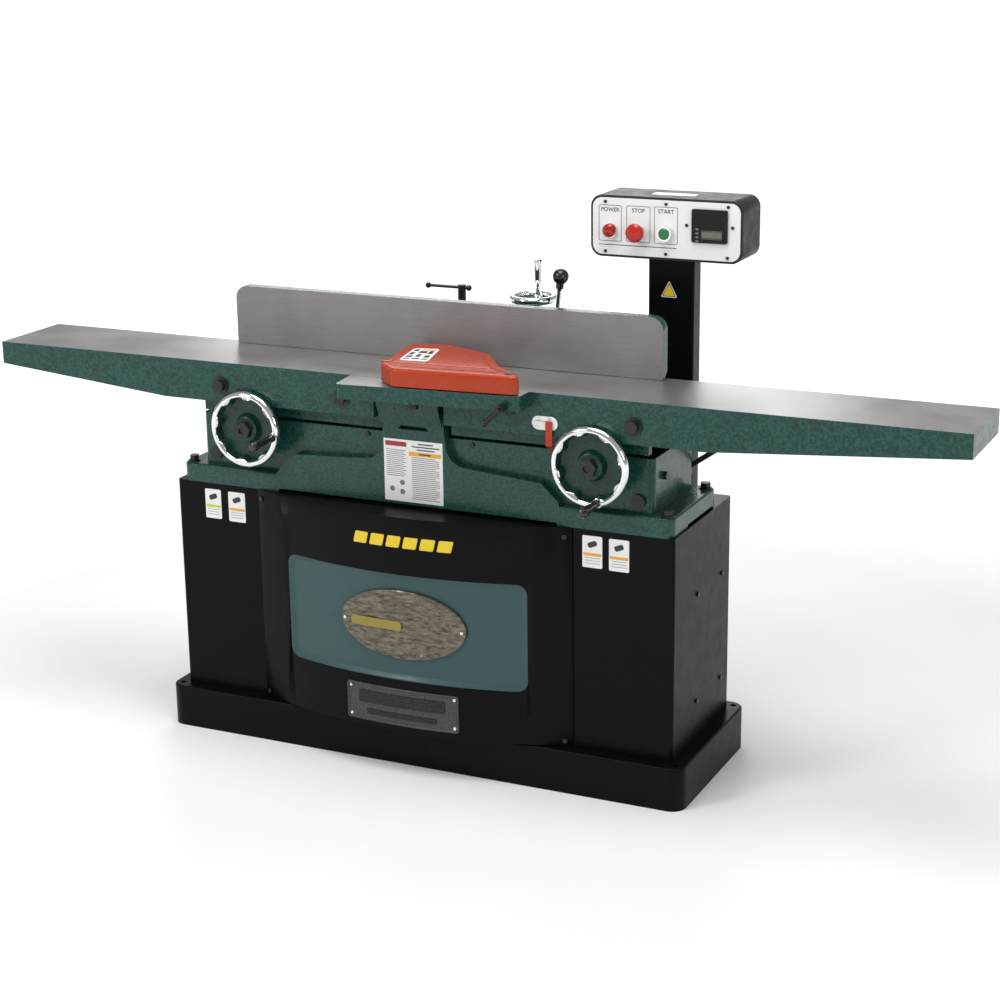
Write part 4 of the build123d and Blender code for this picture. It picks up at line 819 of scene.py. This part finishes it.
def control_details():
    face = front(188.0)
    for name, low, high in (("power", (260, 1053), (310, 1127)), ("stop", (320, 1053.5), (372, 1127.5)),
                            ("start", (380, 1053), (431, 1128.5))):
        frame_line(f"frame_{name}", low, high, 1.5, 4, face, GREY_INK, "stand")
        word(f"word_{name}", name.upper(), ((low[0] + high[0]) / 2, high[1] - 9.8), 8.6, 187.9, INK)
    plate("panel_rule", (344.5, 1046), (169, 1.7), 0.4, face, INK, "stand", thick=0.1)
    screen = front(184.0)
    plate("readout_glass", (504, 1077.5), (40, 13), 0.8, screen, LCD, "stand", thick=0.4)
    rim_face = front(183.0)
    frame_line("readout_frame", (482.5, 1069), (525.5, 1086), 0.8, 1.6, rim_face, GREY_INK, "stand")
    for line in range(4):
        plate(f"readout_key_{line}", (473.5, 1088 - 8.0 * line), (6.5, 3.4), 0.8, rim_face, GREY_INK, "stand",
              thick=0.3)
    plate("box_label", (404, 243), (92, 28), 1.0, top_of(1146.42), WHITE, "stand", thick=0.12)
    corners = [(401 - 18, 938.5), (401 + 18, 938.5), (401, 973)]
    post_face = front(222.0)
    for name, grow, thick, material in (("hazard_edge", 1.0, 0.2, WHITE), ("hazard_line", 0.86, 0.3, INK),
                                        ("hazard_sign", 0.72, 0.4, YELLOW)):
        centre = (401, 950)
        points = []
        for index in range(3):
            first, second = corners[index], corners[(index + 1) % 3]
            for step in range(8):
                share = (step + 0.5) / 8
                points.append((first[0] + (second[0] - first[0]) * share,
                               first[1] + (second[1] - first[1]) * share))
        outline = [(centre[0] + (x - centre[0]) * grow, centre[1] + (z - centre[1]) * grow)
                   for x, z in points]
        layers = [[post_face(x, z, out) for x, z in outline] for out in (0.02, thick)]
        loft(name, layers, material, "stand")


# ------------------------------------------------------------------ stage
def make_stage():
    camera_data = bpy.data.cameras.new("camera")
    camera = bpy.data.objects.new("camera", camera_data)
    bpy.context.scene.collection.objects.link(camera)
    yaw, pitch, roll = math.radians(25.85), math.radians(16.45), math.radians(-0.93)
    back = Vector((math.sin(yaw) * math.cos(pitch), -math.cos(yaw) * math.cos(pitch), math.sin(pitch)))
    right = Vector((math.cos(yaw), math.sin(yaw), 0))
    up = back.cross(right)
    right, up = right * math.cos(roll) + up * math.sin(roll), up * math.cos(roll) - right * math.sin(roll)
    turn = Matrix((right, up, back)).transposed().to_4x4()
    camera.matrix_world = Matrix.Translation((1.9136, -3.7990, 1.7706)) @ turn
    camera_data.sensor_width = 36.0
    camera_data.lens = 76.48
    camera_data.shift_x = 0.01955
    camera_data.shift_y = 0.00296
    camera_data.clip_end = 100
    bpy.context.scene.camera = camera

    floor_mesh = bpy.data.meshes.new("floor")
    reach = 30.0
    corners = [(-reach, -reach, 0), (reach, -reach, 0), (reach, reach, 0), (-reach, reach, 0)]
    floor_mesh.from_pydata(corners, [], [(0, 1, 2, 3)])
    floor = bpy.data.objects.new("floor", floor_mesh)
    bpy.context.scene.collection.objects.link(floor)
    graph = Graph("pale_floor", rough=0.7, specular=0.2)
    graph.colour(graph.mix(graph.noise(3.0), (0.86, 0.86, 0.86), (0.9, 0.9, 0.9)))
    distance = graph.add("ShaderNodeVectorMath", operation="LENGTH")
    graph.feed(distance.inputs[0], graph.coords.outputs["Object"])
    graph.shader.inputs["Emission Color"].default_value = (1.0, 1.0, 1.0, 1.0)
    glow = graph.remap(distance.outputs["Value"], 1.5, 4.5, 0.0, 0.75)
    graph.feed(graph.shader.inputs["Emission Strength"], glow)
    floor_mesh.materials.append(graph.material)

    world = bpy.data.worlds.new("studio")
    world.use_nodes = True
    background = world.node_tree.nodes["Background"]
    background.inputs["Color"].default_value = (1.0, 1.0, 1.0, 1.0)
    rays = world.node_tree.nodes.new("ShaderNodeLightPath")
    strength = world.node_tree.nodes.new("ShaderNodeMapRange")
    strength.inputs["To Min"].default_value = 0.4
    strength.inputs["To Max"].default_value = 1.0
    world.node_tree.links.new(rays.outputs["Is Camera Ray"], strength.inputs["Value"])
    world.node_tree.links.new(strength.outputs["Result"], background.inputs["Strength"])
    bpy.context.scene.world = world
    for name, place, aim, power, size in (
            ("key", (-2.4, -3.6, 3.4), (0, 0, 0.6), 85, 1.4),
            ("fill", (4.2, -2.0, 2.0), (0.3, 0, 0.6), 32, 1.2),
            ("top", (0.3, -0.6, 4.0), (0, 0, 0.8), 95, 2.2),
            ("rear", (-1.5, 3.6, 2.8), (0, 0, 0.8), 60, 2.4)):
        light_data = bpy.data.lights.new(name, "AREA")
        light_data.energy = power
        light_data.size = size
        light = bpy.data.objects.new(name, light_data)
        light.location = place
        light.rotation_euler = (Vector(aim) - Vector(place)).to_track_quat("-Z", "Y").to_euler()
        bpy.context.scene.collection.objects.link(light)
    bpy.context.scene.view_settings.view_transform = "Standard"


dress_cad_nodes()
for node_name, bevel_width in BEVELS.items():
    add_weld(NODES[node_name])
    add_bevel(NODES[node_name], bevel_width)
handwheel("infeed", (403.0, 688.0), -74)
handwheel("outfeed", (-362.0, 688.0), -8)
fence_wheel()
stand_details()
bed_details()
guard_details()
control_details()
make_stage()
